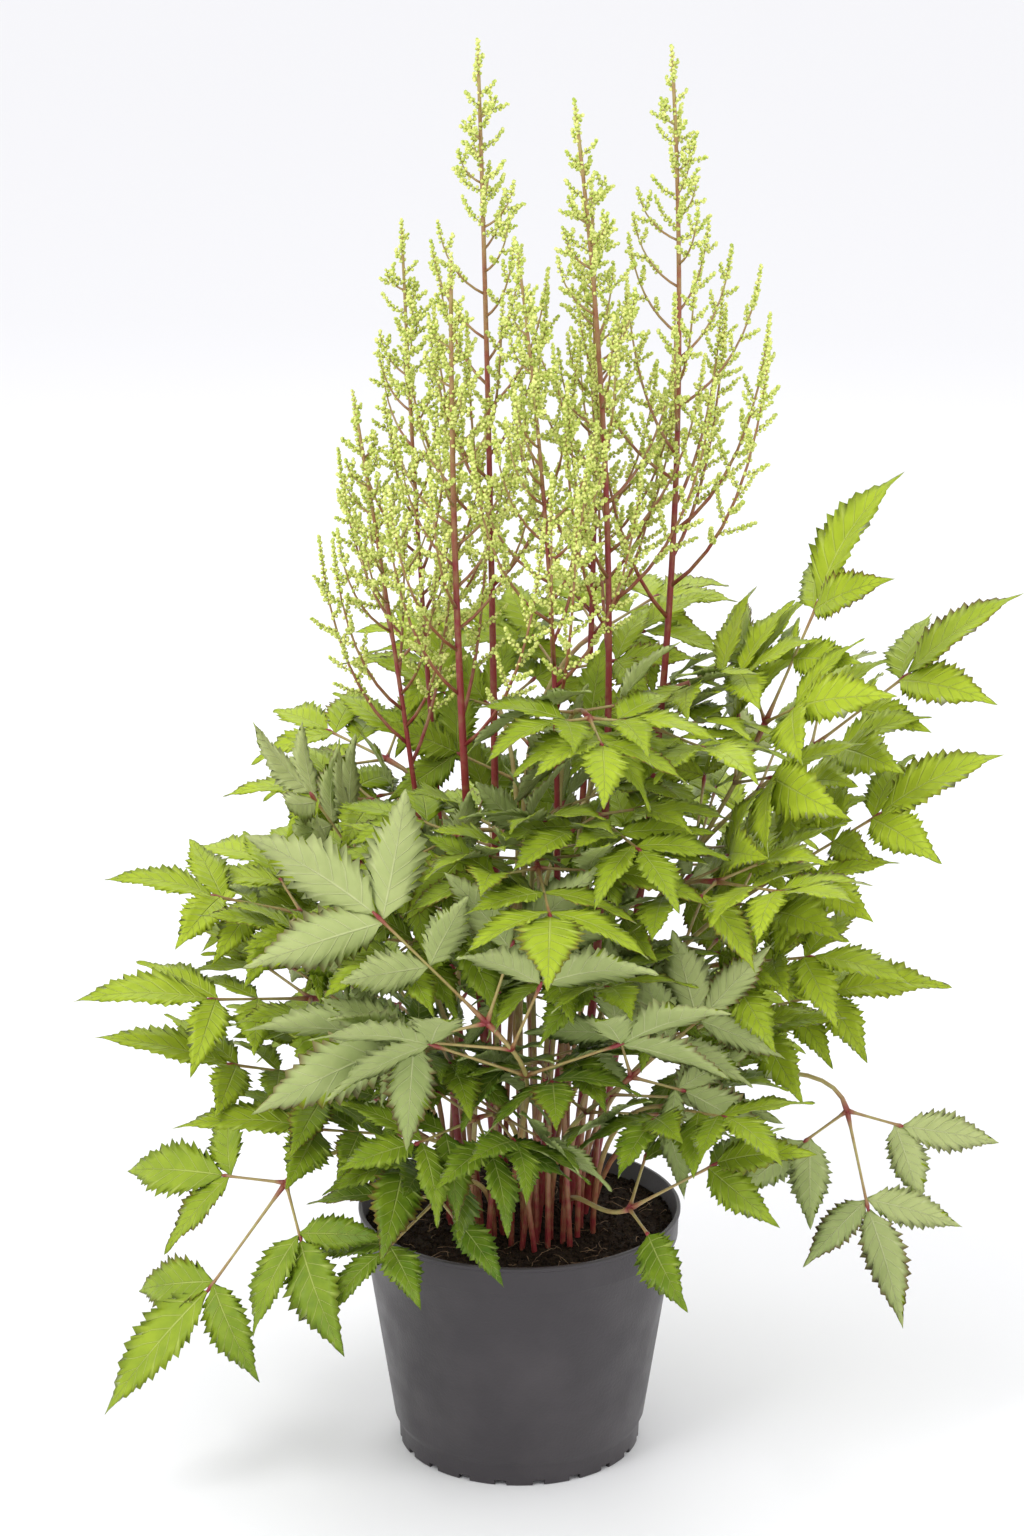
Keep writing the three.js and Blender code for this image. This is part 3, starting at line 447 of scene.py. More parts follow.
def crumb_tree(material):
    """Strews small rough crumbs over the body's top, and fewer the further down its side."""
    inputs = {"Body": "Geometry", "Density": "Float", "Smallest": "Float", "Largest": "Float", "Seed": "Int"}
    tree, given, result = new_group("crumbs", "GeometryNodeTree", inputs, {"Body": "Geometry"})
    normal = node(tree, "ShaderNodeSeparateXYZ", {0: tree.nodes.new("GeometryNodeInputNormal").outputs[0]})
    upper = node(tree, "FunctionNodeCompare", {0: normal.outputs["Z"], 1: 0.5}, operation="GREATER_THAN")
    strewing = {"Mesh": given["Body"], "Selection": upper.outputs[0]}
    strewing |= {"Density": given["Density"], "Seed": given["Seed"]}
    spots = node(tree, "GeometryNodeDistributePointsOnFaces", strewing)
    crumb = node(tree, "GeometryNodeMeshIcoSphere", {"Radius": 1.0, "Subdivisions": 1})
    sizes = {2: given["Smallest"], 3: given["Largest"], "Seed": given["Seed"]}
    size = node(tree, "FunctionNodeRandomValue", sizes, data_type="FLOAT")
    spins = {0: (0, 0, 0), 1: (6.3, 6.3, 6.3), "Seed": given["Seed"]}
    spin = node(tree, "FunctionNodeRandomValue", spins, data_type="FLOAT_VECTOR")
    placing = {"Points": spots.outputs["Points"], "Instance": crumb.outputs["Mesh"]}
    placing |= {"Rotation": spin.outputs[0], "Scale": size.outputs[1]}
    placed_crumbs = node(tree, "GeometryNodeInstanceOnPoints", placing)
    real = node(tree, "GeometryNodeRealizeInstances", {0: placed_crumbs.outputs[0]})
    both = node(tree, "GeometryNodeJoinGeometry")
    tree.links.new(real.outputs[0], both.inputs[0])
    tree.links.new(given["Body"], both.inputs[0])
    coloured = node(tree, "GeometryNodeSetMaterial", {"Geometry": both.outputs[0], "Material": material})
    tree.links.new(coloured.outputs[0], result["Body"])
    return tree


def strewn(obj, tree, **inputs):
    """obj after a Geometry Nodes tree, as a plain mesh."""
    modifier = obj.modifiers.new(tree.name, "NODES")
    modifier.node_group = tree
    identifiers = {s.name: s.identifier for s in tree.interface.items_tree if s.in_out == "INPUT"}
    for key, value in inputs.items():
        modifier[identifiers[key.replace("_", " ")]] = value
    return baked(obj)


class Parts:
    """Points, faces and named numbers that are gathered for one mesh."""

    def __init__(self):
        self.points, self.faces, self.values, self.count = [], [], {}, 0

    def add(self, points, faces, **values):
        """Adds a closed piece. Each named value is one number, or one for each point."""
        self.points.append(points)
        self.faces += [tuple(self.count + i for i in f) for f in faces]
        for key, numbers in values.items():
            self.values.setdefault(key, []).append(np.broadcast_to(numbers, len(points)))
        self.count += len(points)

    def made(self, name, materials, **rest):
        values = {key: np.concatenate(numbers) for key, numbers in self.values.items()}
        return made_object(name, np.concatenate(self.points), self.faces, materials, values=values, **rest)


def joined(name, objects):
    """Several mesh objects made into one."""
    with bpy.context.temp_override(
        active_object=objects[0], selected_editable_objects=objects, object=objects[0]
    ):
        bpy.ops.object.join()
    objects[0].name = name
    return objects[0]


def cross(a, b):
    return np.array(
        (a[1] * b[2] - a[2] * b[1], a[2] * b[0] - a[0] * b[2], a[0] * b[1] - a[1] * b[0])
    )


def unit(a):
    return a / math.sqrt(a @ a)


def flattened(a, normal):
    return unit(a - normal * (a @ normal))


def square_to(line, i, sideways):
    """Two directions square to a line of points at its point i, the first as near sideways as can be."""
    along = unit(line[min(i + 1, len(line) - 1)] - line[max(i - 1, 0)])
    u = flattened(sideways, along)
    return u, cross(along, u)


def tube(line, radii, sides, sideways):
    """A closed round rod along a line of points: its points, its faces and each point's share along it."""
    line = np.asarray(line, dtype=float)
    count = len(line)
    spokes = 2 * math.pi * np.arange(sides) / sides
    points = []
    for i in range(count):
        u, v = square_to(line, i, sideways)
        points.append(line[i] + radii[i] * (np.outer(np.cos(spokes), u) + np.outer(np.sin(spokes), v)))
    points = np.concatenate([*points, line[:1], line[-1:]])
    faces = []
    pairs = around(sides)
    for a in range(0, (count - 1) * sides, sides):
        b = a + sides
        faces += [(a + k, a + n, b + n, b + k) for k, n in pairs]
    start, end = count * sides, count * sides + 1
    last = start - sides
    for k, n in pairs:
        faces += [(n, k, start), (last + k, last + n, end)]
    shares = np.append(np.repeat(np.arange(count) / (count - 1), sides), (0, 1))
    return points, faces, shares


peat_earth, tree, shader = new_material("peat", Roughness=0.95, Specular_IOR_Level=0.2)
paint(tree, shader, mottle(tree, 0.003, 5.0), (0.012, 0.007, 0.004), (0.045, 0.026, 0.016))
bump(tree, shader, mottle(tree, 0.0012, 6.0), 0.0008)

fibre, tree, shader = new_material("peat fibre", Roughness=0.8)
paint(tree, shader, mottle(tree, 0.006), (0.10, 0.055, 0.03), (0.34, 0.22, 0.13))

peat = peat_body(peat_earth)
crumb_density = CRUMBS / (math.pi * (RIM_RADIUS * MM) ** 2)
smallest, largest = CRUMB_SIZES
peat = strewn(peat, crumb_tree(peat_earth), Density=crumb_density, Smallest=smallest, Largest=largest, Seed=7)
draw = random_from(5)
fibres = Parts()
for _ in range(FIBRES):
    radius, bearing = FIBRE_SPREAD * math.sqrt(draw(0.02, 1)), draw(0, 2 * math.pi)
    heading, length, curl = draw(0, 2 * math.pi), draw(4, 16), draw(-0.9, 0.9)
    steps = np.linspace(0, 1, 6)
    x = radius * math.cos(bearing) + length * steps * np.cos(heading + curl * steps)
    y = radius * math.sin(bearing) + length * steps * np.sin(heading + curl * steps)
    inside = np.minimum(1, FIBRE_LIMIT / np.maximum(np.hypot(x, y), 1))
    x, y = x * inside, y * inside
    z = PEAT_TOP + peat_relief(x, y) + FIBRE_LIFT + draw(0, 2.2) * np.sin(math.pi * steps)
    points, faces, _ = tube(np.stack([x, y, z], 1), np.full(6, FIBRE_RADIUS), 4, np.array((0.1, 0.2, 1.0)))
    fibres.add(points, faces)
peat = joined("peat_fine", [peat, fibres.made("fibres", [fibre])])
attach(peat, "root")
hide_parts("peat")


# ---------- Flower stems and leaf stalks: where they run ----------
# Every stem and stalk stands in the peat. It takes the first way from foot to tip that stays clear of all
# before it, by the same tests as in the part's own source.

FOOT_DEPTH = 14
FOOT_SPACING = 7.5
LEAN = 0.3  # how far a leaf that faces up is turned outwards, as a slope
LIGHT = (0, -0.34, 1)  # the way that leaves which face up turn to
PETIOLE_RADIUS = 1.7  # of a leaf's own stalk, below its hub
PETIOLE_TAPER = 0.35
PETIOLE_STEPS = 4
STALK_RADIUS = 1.1  # of the stalks past the hub
STALK_THINNING = 0.1
STALK_OVERRUN = 1.2  # how far a tested stalk runs past its node
BLADE_THICKNESS = 1.6
TEST_MARGIN = 0.5
GOLDEN_ANGLE = 2.39996
UP = (0, 0, 1)

# foot on the peat, a point halfway, the tip, where the branches begin, the longest branch, stem radius
PANICLES = [
    ((-13, 8), (-15, 6, 470), (-23, 4, 824), 520, 150, 3.0),
    ((27, -6), (50, -12, 470), (29, -14, 794), 480, 165, 3.0),
    ((38, 12), (83, 12, 480), (82, 10, 820), 500, 175, 3.0),
    ((-8, -22), (-32, -42, 450), (-37, -46, 716), 440, 150, 3.4),
    ((-31, -4), (-64, -10, 440), (-92, -16, 636), 420, 140, 2.4),
    ((-24, 20), (-52, 32, 450), (-66, 40, 722), 470, 131, 2.4),
    ((10, -18), (20, -44, 450), (-2, -50, 722), 460, 150, 2.4),
    ((14, 22), (40, 44, 450), (40, 52, 740), 480, 150, 2.8),
]
BRANCHES = 7
SHORTEST_BRANCH = 13
LAST_BRANCH = 30  # how far below the tip the branches would end
BRANCH_CLIMB = 0.9  # below 1 the branches stand closer towards the tip
BRANCH_SHRINK = 1.7  # how fast they get shorter towards the tip

# name, hub where the stalk first forks, tip of the last leaflet, the way the upper face looks, and how
# many leaflets the part's own solid has
LEAVES = [
    ("front_left_rising", (-18, -130, 309), (-138, -126, 432), (0.1, 1, -0.1), 7),
    ("front_right_rising", (62, -95, 264), (142, -112, 344), (-0.1, 1, -0.1), 6),
    ("over_peat_right", (62, -84, 180), (158, -120, 250), (-0.3, -0.5, 1), 6),
    ("over_rim_left", (-46, -82, 186), (-106, -152, 150), (-0.2, -0.3, 1), 5),
    ("front_low_left", (-24, -92, 238), (-92, -164, 236), (0.1, -0.6, 0.8), 6),
    ("left_low", (-62, -44, 208), (-176, -96, 238), UP, 5),
    ("left_drooping", (-133, -70, 190), (-221, -110, 75), (-0.2, -0.5, 0.9), 9),
    ("right_drooping", (188, -40, 222), (214, -52, 106), (0.1, 1, 0.3), 5),
    ("right_low_outer", (128, -14, 272), (232, -38, 306), UP, 5),
    ("left_mid_low", (-108, -14, 232), (-226, -58, 266), UP, 5),
    ("left_mid", (-120, -22, 284), (-232, -84, 305), UP, 6),
    ("left_upper", (-126, 6, 326), (-228, -8, 352), UP, 5),
    ("left_high", (-92, -34, 372), (-142, -46, 452), (-0.8, 0, 0.6), 5),
    ("centre_front_high", (10, -94, 386), (22, -216, 370), UP, 6),
    ("centre_front_mid", (34, -84, 320), (62, -170, 336), UP, 5),
    ("centre_left_mid", (-46, -66, 344), (-96, -142, 330), UP, 5),
    ("centre_right_high", (74, -30, 448), (128, -124, 450), UP, 6),
    ("right_high_upright", (138, -20, 448), (196, -4, 584), (-0.8, -0.3, 0.5), 7),
    ("right_high_outer", (168, 26, 420), (276, 22, 508), (-0.4, -0.2, 1), 7),
    ("right_upper", (148, -30, 362), (258, -40, 436), (-0.4, -0.3, 1), 5),
    ("right_mid", (108, -88, 376), (178, -168, 390), UP, 6),
    ("right_mid_low", (118, -58, 318), (208, -100, 340), UP, 5),
    ("right_front_low", (85, -80, 240), (142, -156, 258), UP, 5),
    ("back_left_high", (-78, 64, 402), (-150, 124, 420), UP, 5),
    ("back_centre_top", (46, 84, 474), (118, 156, 500), UP, 5),
    ("back_left_top", (-26, 84, 452), (-70, 168, 478), UP, 5),
    ("back_left_mid", (-104, 74, 320), (-202, 142, 330), UP, 5),
    ("back_centre_mid", (-16, 122, 330), (-26, 240, 350), UP, 5),
    ("back_right_mid", (96, 96, 340), (178, 176, 356), UP, 5),
    ("back_left_low", (-74, 96, 236), (-142, 192, 234), UP, 5),
    ("back_right_low", (84, 102, 236), (156, 200, 232), UP, 5),
    ("centre_front_left", (-34, -72, 398), (-96, -132, 384), UP, 5),
    ("centre_front_right", (42, -74, 410), (88, -154, 394), UP, 5),
    ("centre_front_top", (38, -76, 466), (50, -152, 456), UP, 5),
    ("centre_dark_left", (-44, -58, 268), (-104, -112, 278), UP, 5),
    ("centre_front_low", (12, -66, 262), (24, -148, 268), UP, 5),
    ("left_inner_high", (-84, 12, 392), (-150, -12, 410), UP, 5),
    ("right_inner_high", (98, 14, 462), (160, -24, 486), UP, 5),
    ("back_inner_low", (4, 56, 300), (14, 136, 316), UP, 5),
    ("back_inner_high", (58, 48, 398), (84, 128, 410), UP, 5),
]


def vector(*numbers):
    return np.array(numbers, dtype=float)


def turned(v, axis, angle):
    c, s = math.cos(angle), math.sin(angle)
    return v * c + cross(axis, v) * s + axis * ((axis @ v) * (1 - c))


def rod(points, radii, sides, sideways):
    """A plain closed rod for the clearance test, as points and triangles."""
    vertices = []
    for i, p in enumerate(points):
        u, v = square_to(points, i, sideways)
        for k in range(sides):
            angle = 2 * math.pi * k / sides
            vertices.append(p + (u * math.cos(angle) + v * math.sin(angle)) * radii[i])
    triangles = []
    for i in range(len(points) - 1):
        a, b = i * sides, (i + 1) * sides
        for k, n in around(sides):
            triangles += [(a + k, a + n, b + k), (a + n, b + n, b + k)]
    last = (len(points) - 1) * sides
    for k in range(1, sides - 1):
        triangles += [(0, k + 1, k), (last, last + k, last + k + 1)]
    return vertices, triangles


def bounds_of(corners):
    return corners.min(axis=-2), corners.max(axis=-2)


def shape_of(points, triangles):
    """A test shape: its edges and faces as corner points, each with its box."""
    points, triangles = np.asarray(points), np.asarray(triangles)
    sides = np.sort(np.concatenate([triangles[:, [0, 1]], triangles[:, [1, 2]], triangles[:, [2, 0]]]), 1)
    codes = np.unique(sides[:, 0] * 10000 + sides[:, 1])
    edges = points[np.stack([codes // 10000, codes % 10000], 1)]
    faces = points[triangles]
    return edges, bounds_of(edges), faces, bounds_of(faces), bounds_of(points)


def meeting(boxes, box):
    return ((boxes[0] <= box[1]) & (box[0] <= boxes[1])).all(axis=-1)


def outer_cross(a, b):
    """The cross products of two arrays of vectors that broadcast together."""
    (ax, ay, az), (bx, by, bz) = np.moveaxis(a, -1, 0), np.moveaxis(b, -1, 0)
    return np.stack([ay * bz - az * by, az * bx - ax * bz, ax * by - ay * bx], axis=-1)


def edges_pierce(a, b):
    edges = a[0][meeting(a[1], b[4])]
    faces = b[2][meeting(b[3], a[4])]
    if not len(edges) or not len(faces):
        return False
    start = edges[:, None, 0]
    ray = edges[:, None, 1] - start
    corner = faces[None, :, 0]
    ab = faces[None, :, 1] - corner
    ac = faces[None, :, 2] - corner
    p = outer_cross(ray, ac)
    determinant = (ab * p).sum(-1)
    determinant[np.abs(determinant) < 1e-12] = np.nan
    offset = start - corner
    u = (offset * p).sum(-1) / determinant
    q = outer_cross(offset, ab)
    v = (ray * q).sum(-1) / determinant
    t = (ac * q).sum(-1) / determinant
    return bool(((u >= 0) & (v >= 0) & (u + v <= 1) & (t >= 0) & (t <= 1)).any())


def crossing(a, b):
    return edges_pierce(a, b) or edges_pierce(b, a)


placed_shapes, placed_free, placed_owners = [], [], []
placed_boxes = np.zeros((2, 4000, 3))


def place(shapes, owner, free=None):
    for i, shape in enumerate(shapes):
        placed_boxes[:, len(placed_shapes)] = shape[4]
        placed_shapes.append(shape)
        placed_free.append((free or shapes)[i])
        placed_owners.append(owner)


def near(shape):
    return np.nonzero(meeting(placed_boxes[:, : len(placed_shapes)], shape[4]))[0]


def is_clear(shapes, owner):
    return not any(
        placed_owners[i] != owner and crossing(shape, placed_shapes[i])
        for shape in shapes
        for i in near(shape)
    )


def stem_point(panicle, z):
    foot, middle, tip = panicle[:3]
    ends = ((*foot, PEAT_TOP), middle, tip)
    x = y = 0
    for i, own in enumerate(ends):
        p, q = (end[2] for k, end in enumerate(ends) if k != i)
        weight = ((z - p) * (z - q)) / ((own[2] - p) * (own[2] - q))
        x += weight * own[0]
        y += weight * own[1]
    return vector(x, y, z)


SPIKE_LENGTH = 70  # the budded top of each panicle, above its bare stem
TOP_ROOM = (10.5, 3)  # the radii that the clearance test keeps for it, at its foot and its tip
STEM_ROOM = 0.3  # what the test keeps round a stem beyond its margin
STEM_TAPER = 0.68  # how much thinner a stem would be at its tip, as a share


def stem_radius(panicle, z):
    return panicle[5] * (1 - STEM_TAPER * (z - PEAT_TOP) / (panicle[2][2] - PEAT_TOP))


def place_stem(panicle, owner):
    top = panicle[2][2] - SPIKE_LENGTH
    heights = [PEAT_TOP + (top - PEAT_TOP) * i / 5 for i in range(6)]
    line = [vector(*panicle[0], PEAT_TOP - FOOT_DEPTH), *(stem_point(panicle, z) for z in heights)]
    radii = [panicle[5], *(stem_radius(panicle, z) for z in heights)]
    across = vector(0, 1, 0)
    stem = rod(line, [r + TEST_MARGIN + STEM_ROOM for r in radii], 4, across)
    spike = rod([line[-1], vector(*panicle[2])], TOP_ROOM, 4, across)
    place([shape_of(*stem), shape_of(*spike)], owner)


feet = [panicle[0] for panicle in PANICLES]
CROWN_RADIUS = 17  # how near the middle of the peat the innermost stalks stand
FOOT_SHARE = 0.14  # how much further out a stalk stands, per millimetre that its hub is out
FOOT_RINGS = (0, 7, 14, 21, 28)
FOOT_TRIES = 7  # spots on each ring
FOOT_TURN = 0.16  # radians between them


def free_spots(hub):
    """The free spots on the peat for a leaf's foot, the nearest to its own bearing first."""
    bearing = math.atan2(hub[1], hub[0])
    radius = CROWN_RADIUS + FOOT_SHARE * math.hypot(hub[0], hub[1])
    for further in FOOT_RINGS:
        for k in range(FOOT_TRIES):
            angle = bearing + FOOT_TURN * math.ceil(k / 2) * (1 if k % 2 else -1)
            spot = ((radius + further) * math.cos(angle), (radius + further) * math.sin(angle))
            if all(math.hypot(f[0] - spot[0], f[1] - spot[1]) >= FOOT_SPACING for f in feet):
                yield spot


def bezier(ends, t):
    r = 1 - t
    return ends[0] * r**3 + ends[1] * (3 * r * r * t) + ends[2] * (3 * r * t * t) + ends[3] * t**3


NODE_ANGLE = 62  # how far the two side stalks turn from the leaf's direction
NODE_REACH = 0.27  # lengths of the stalks past the hub, as shares of the leaf's reach
INNER_REACH = 0.26
OUTER_REACH = 0.5
NODE_LIFT = 0.03  # how far the side nodes stand over the leaf's plane
FIRST_RISE = 0.5  # how far a stalk rises before it bends over, as a share of its span
LAST_RUN = 0.3  # how long it runs straight into the hub


def skeleton_of(hub, tip, face, foot, swing, lift):
    """The stalk's curve from the peat to the hub, and the places of the leaf's four nodes."""
    ground = vector(*foot, PEAT_TOP + 2)
    along = unit(tip - hub)
    reach = math.sqrt((tip - hub) @ (tip - hub))
    outward = unit(vector(hub[0], hub[1], 0))
    up = flattened(LIGHT + outward * LEAN if face is UP else vector(*face), along)
    span = math.sqrt((hub - ground) @ (hub - ground))
    sideways = cross(UP, outward)
    first = ground + vector(0, 0, span * (FIRST_RISE + lift)) + sideways * swing
    second = hub - along * (LAST_RUN * span) + sideways * swing
    skeleton = {
        "foot": vector(*foot, PEAT_TOP - FOOT_DEPTH),
        "curve": (ground, first, second, hub),
        "hub": hub,
        "along": along,
        "up": up,
        "left": cross(up, along),
        "reach": reach,
        "inner": hub + along * (INNER_REACH * reach),
        "outer": hub + along * (OUTER_REACH * reach),
    }
    for name, side in (("left_node", 1), ("right_node", -1)):
        direction = turned(along, up, side * math.radians(NODE_ANGLE))
        skeleton[name] = hub + direction * (NODE_REACH * reach) + up * (NODE_LIFT * reach)
    return skeleton


FORK = ("outer", "left_node", "right_node")  # the nodes where the three stalks past the hub end


def stalk_shapes(s):
    """The test shapes of a leaf's stalks."""
    steps = PETIOLE_STEPS
    petiole = [s["foot"], *(bezier(s["curve"], i / steps) for i in range(steps + 1))]
    taper = [PETIOLE_RADIUS - PETIOLE_TAPER * i / steps + TEST_MARGIN for i in range(steps + 2)]
    thick = STALK_RADIUS + TEST_MARGIN
    thin = thick - STALK_THINNING
    outer, left, right = (s[name] + unit(s[name] - s["hub"]) * STALK_OVERRUN for name in FORK)
    main = rod([*petiole, outer], [*taper, thin], 3, s["left"])
    sides = rod([left, s["hub"], right], [thin, thick, thin], 3, s["up"])
    return [shape_of(*main), shape_of(*sides)]


RISES = (0, 10, -10, 20, -20)
LIFTS = (0, 0.12, -0.12, 0.24)
SWINGS = (0, 9, -9, 18, -18, 27, -27, 36, -36, 48, -48)


def settled_skeleton(name, hub, tip, face):
    """The first way from foot to nodes that clears every stalk and stem placed before."""
    for foot in free_spots(hub):
        for rise, lift, swing in itertools.product(RISES, LIFTS, SWINGS):
            raised = vector(0, 0, rise)
            skeleton = skeleton_of(vector(*hub) + raised, vector(*tip) + raised, face, foot, swing, lift)
            shapes = stalk_shapes(skeleton)
            if is_clear(shapes, name):
                feet.append(foot)
                place(shapes, name)
                return skeleton
    raise ValueError(name + " finds no clear way for its stalks")


def ring(radius, z):
    """Points round a circle for a clearance test."""
    angles = (2 * math.pi * k / RING_SIDES for k in range(RING_SIDES))
    return [(radius * math.cos(angle), radius * math.sin(angle), z) for angle in angles]


RING_SIDES = 16
POT_ROOM = 3  # what leaves keep clear of the pot's wall
wall_triangles = []
for k, n in around(RING_SIDES):
    wall_triangles += [(k, n, RING_SIDES + k), (n, RING_SIDES + n, RING_SIDES + k)]
wall_points = ring(FOOT_RADIUS + POT_ROOM, 0) + ring(RIM_RADIUS + POT_ROOM, POT_HEIGHT + 1)
place([shape_of(wall_points, wall_triangles)], "pot")
for number, panicle in enumerate(PANICLES):
    place_stem(panicle, number)
skeletons = [settled_skeleton(name, hub, tip, face) for name, hub, tip, face, _ in LEAVES]


# ---------- Flower panicles ----------
# Eight stiff flower stems, crimson below and green towards the tip. Side branches climb round each in a
# spiral, every branch carries short spikes, and Geometry Nodes beads every spike with tiny round buds.

BRANCH_TURNS = (0, 14, -14, 28, -28, 42, -42, 58, -58, 76, -76, 96, -96, 120, -120, 150)
FINE_BRANCHES = 3  # branches here for each one of the part's own solid
FINE_TURN = 2.1  # radians from one of these to the next
BRANCH_RISE = (0.45, 0.4)  # length and length squared: how a branch climbs
BRANCH_REACH = (1.7, 0.7)  # the same for how it spreads, the square taken off
BRANCH_SPREAD = (0.26, 0.4)  # the least and the most that it spreads, per length
TOP_SPREAD = 0.4  # what is added to that at the tip
BRANCH_ROOM = ((0.06, 1.6), (0.3, 2.6), (0.65, 4.4), (1.02, 2))  # shares along it, and radii kept clear
SPIKE_ROOM = (3.2, 2.4)
SPIKELETS = 2  # the side spikes of the part's own branch, which are kept clear here too
FIRST_SPIKELET = 0.44  # share of the branch
SPIKELET_STEP = 0.22
SPIKELET_SLOPE = 1.1
SPIKELET_LENGTH = (8, 0.16)  # its own, and the share of the branch's length added
PANICLE_TURN = 1.9  # radians from one panicle's first branch to the next one's
BUD_SIZES = {"Bud_radius": 0.00115, "Bud_spacing": 0.00098, "Stalk_radius": 0.0004}  # metres


def branch_point(branch, t):
    rise = branch["length"] * (BRANCH_RISE[0] * t + BRANCH_RISE[1] * t * t)
    spread = branch["length"] * branch["spread"] * (BRANCH_REACH[0] * t - BRANCH_REACH[1] * t * t)
    return branch["root"] + branch["outward"] * spread + vector(0, 0, rise)


def outward_at(angle):
    return vector(math.cos(angle), math.sin(angle), 0)


def branch_shapes(branch):
    sideways = cross(branch["outward"], UP)
    line = [branch_point(branch, t) for t, _ in BRANCH_ROOM]
    rods = [rod(line, [radius for _, radius in BRANCH_ROOM], 4, sideways)]
    for i in range(SPIKELETS):
        root = branch_point(branch, FIRST_SPIKELET + SPIKELET_STEP * i)
        direction = unit((sideways if i % 2 else -sideways) + vector(0, 0, SPIKELET_SLOPE))
        length = SPIKELET_LENGTH[0] + branch["length"] * SPIKELET_LENGTH[1]
        rods.append(rod([root, root + direction * (length + 1)], SPIKE_ROOM, 4, branch["outward"]))
    return [shape_of(*r) for r in rods]


def settled_branch(panicle, share, angle, spread, owner):
    _, _, tip, start, longest, _ = panicle
    z = start + (tip[2] - LAST_BRANCH - start) * share**BRANCH_CLIMB
    branch = {
        "root": stem_point(panicle, z),
        "length": longest * (1 - share) ** BRANCH_SHRINK + SHORTEST_BRANCH,
        "spread": spread,
    }
    for turn in BRANCH_TURNS:
        branch["outward"] = outward_at(angle + math.radians(turn))
        shapes = branch_shapes(branch)
        if is_clear(shapes, owner):
            place(shapes, owner)
            return branch
    return None


branches = []
for number, panicle in enumerate(PANICLES):
    draw = random_from(101 + 37 * number)
    own = []
    for k in range(BRANCHES):
        angle = k * GOLDEN_ANGLE + number * PANICLE_TURN + draw(-0.2, 0.2)
        spread = draw(*BRANCH_SPREAD) + TOP_SPREAD * (k / BRANCHES)
        own.append(settled_branch(panicle, k / BRANCHES, angle, spread, number))
    branches.append([branch for branch in own if branch])
for number, panicle in enumerate(PANICLES):
    draw = random_from(501 + 41 * number)
    for k in range(BRANCHES):
        for j in range(1, FINE_BRANCHES):
            share = (k + j / FINE_BRANCHES) / BRANCHES
            angle = k * GOLDEN_ANGLE + number * PANICLE_TURN + j * FINE_TURN + draw(-0.3, 0.3)
            spread = draw(*BRANCH_SPREAD) + TOP_SPREAD * share
            extra = settled_branch(panicle, share, angle, spread, number)
            if extra:
                branches[number].append(extra)


BUDDED_END = (0.78, 0.86, 0.93, 1)  # shares of a branch
FIRST_SPIKE = 0.3
SPIKES_SPAN = 0.58
SPIKE_SPACING = 9.5
SPIKE_REACH = (10, 0.08)  # its own, and the share of the branch's length added
SPIKE_SHRINK = (1.15, 0.6)  # at the branch's root, and how much less at its end


def spikes_of(branch, draw):
    """The short budded spikes round one branch, as lines of points, and its own budded end."""
    length = branch["length"]
    spikes = [[branch_point(branch, t) for t in BUDDED_END]]
    count = max(3, round(length * 0.66 / SPIKE_SPACING))
    sideways = cross(branch["outward"], UP)
    for i in range(count):
        t = FIRST_SPIKE + SPIKES_SPAN * i / count
        root = branch_point(branch, t)
        along = unit(branch_point(branch, t + 0.04) - root)
        angle = i * GOLDEN_ANGLE + draw(-0.3, 0.3)
        away = turned(flattened(sideways, along), along, angle)
        reach = (SPIKE_REACH[0] + SPIKE_REACH[1] * length) * (SPIKE_SHRINK[0] - SPIKE_SHRINK[1] * t)
        reach *= draw(0.8, 1.15)
        first = unit(away + along * 0.8)
        second = unit(away + along * 1.3)
        spikes.append([root, root + first * (0.5 * reach), root + (first + second) * (0.5 * reach)])
    return spikes


TOP_SPIKES = 17
TOP_STRETCH = (106, 100)  # how far below the tip they start, and how much stem they take up
TOP_REACH = (26, 3.5)  # what the lowest has over the last one, and the last one


def top_spikes(panicle, draw):
    """The spikes of the panicle's own tip, shorter towards its end."""
    tip = panicle[2][2]
    spikes = [[stem_point(panicle, tip - 16 + 5.3 * i) for i in range(4)]]
    for i in range(TOP_SPIKES):
        share = i / TOP_SPIKES
        root = stem_point(panicle, tip - TOP_STRETCH[0] + TOP_STRETCH[1] * share)
        away = outward_at(i * GOLDEN_ANGLE + draw(-0.2, 0.2))
        reach = (TOP_REACH[0] * (1 - share) ** 0.8 + TOP_REACH[1]) * draw(0.8, 1.1)
        first = root + (away * 0.8 + vector(0, 0, 0.45)) * (0.55 * reach)
        spikes.append([root, first, first + (away * 0.6 + vector(0, 0, 0.8)) * (0.45 * reach)])
    return spikes


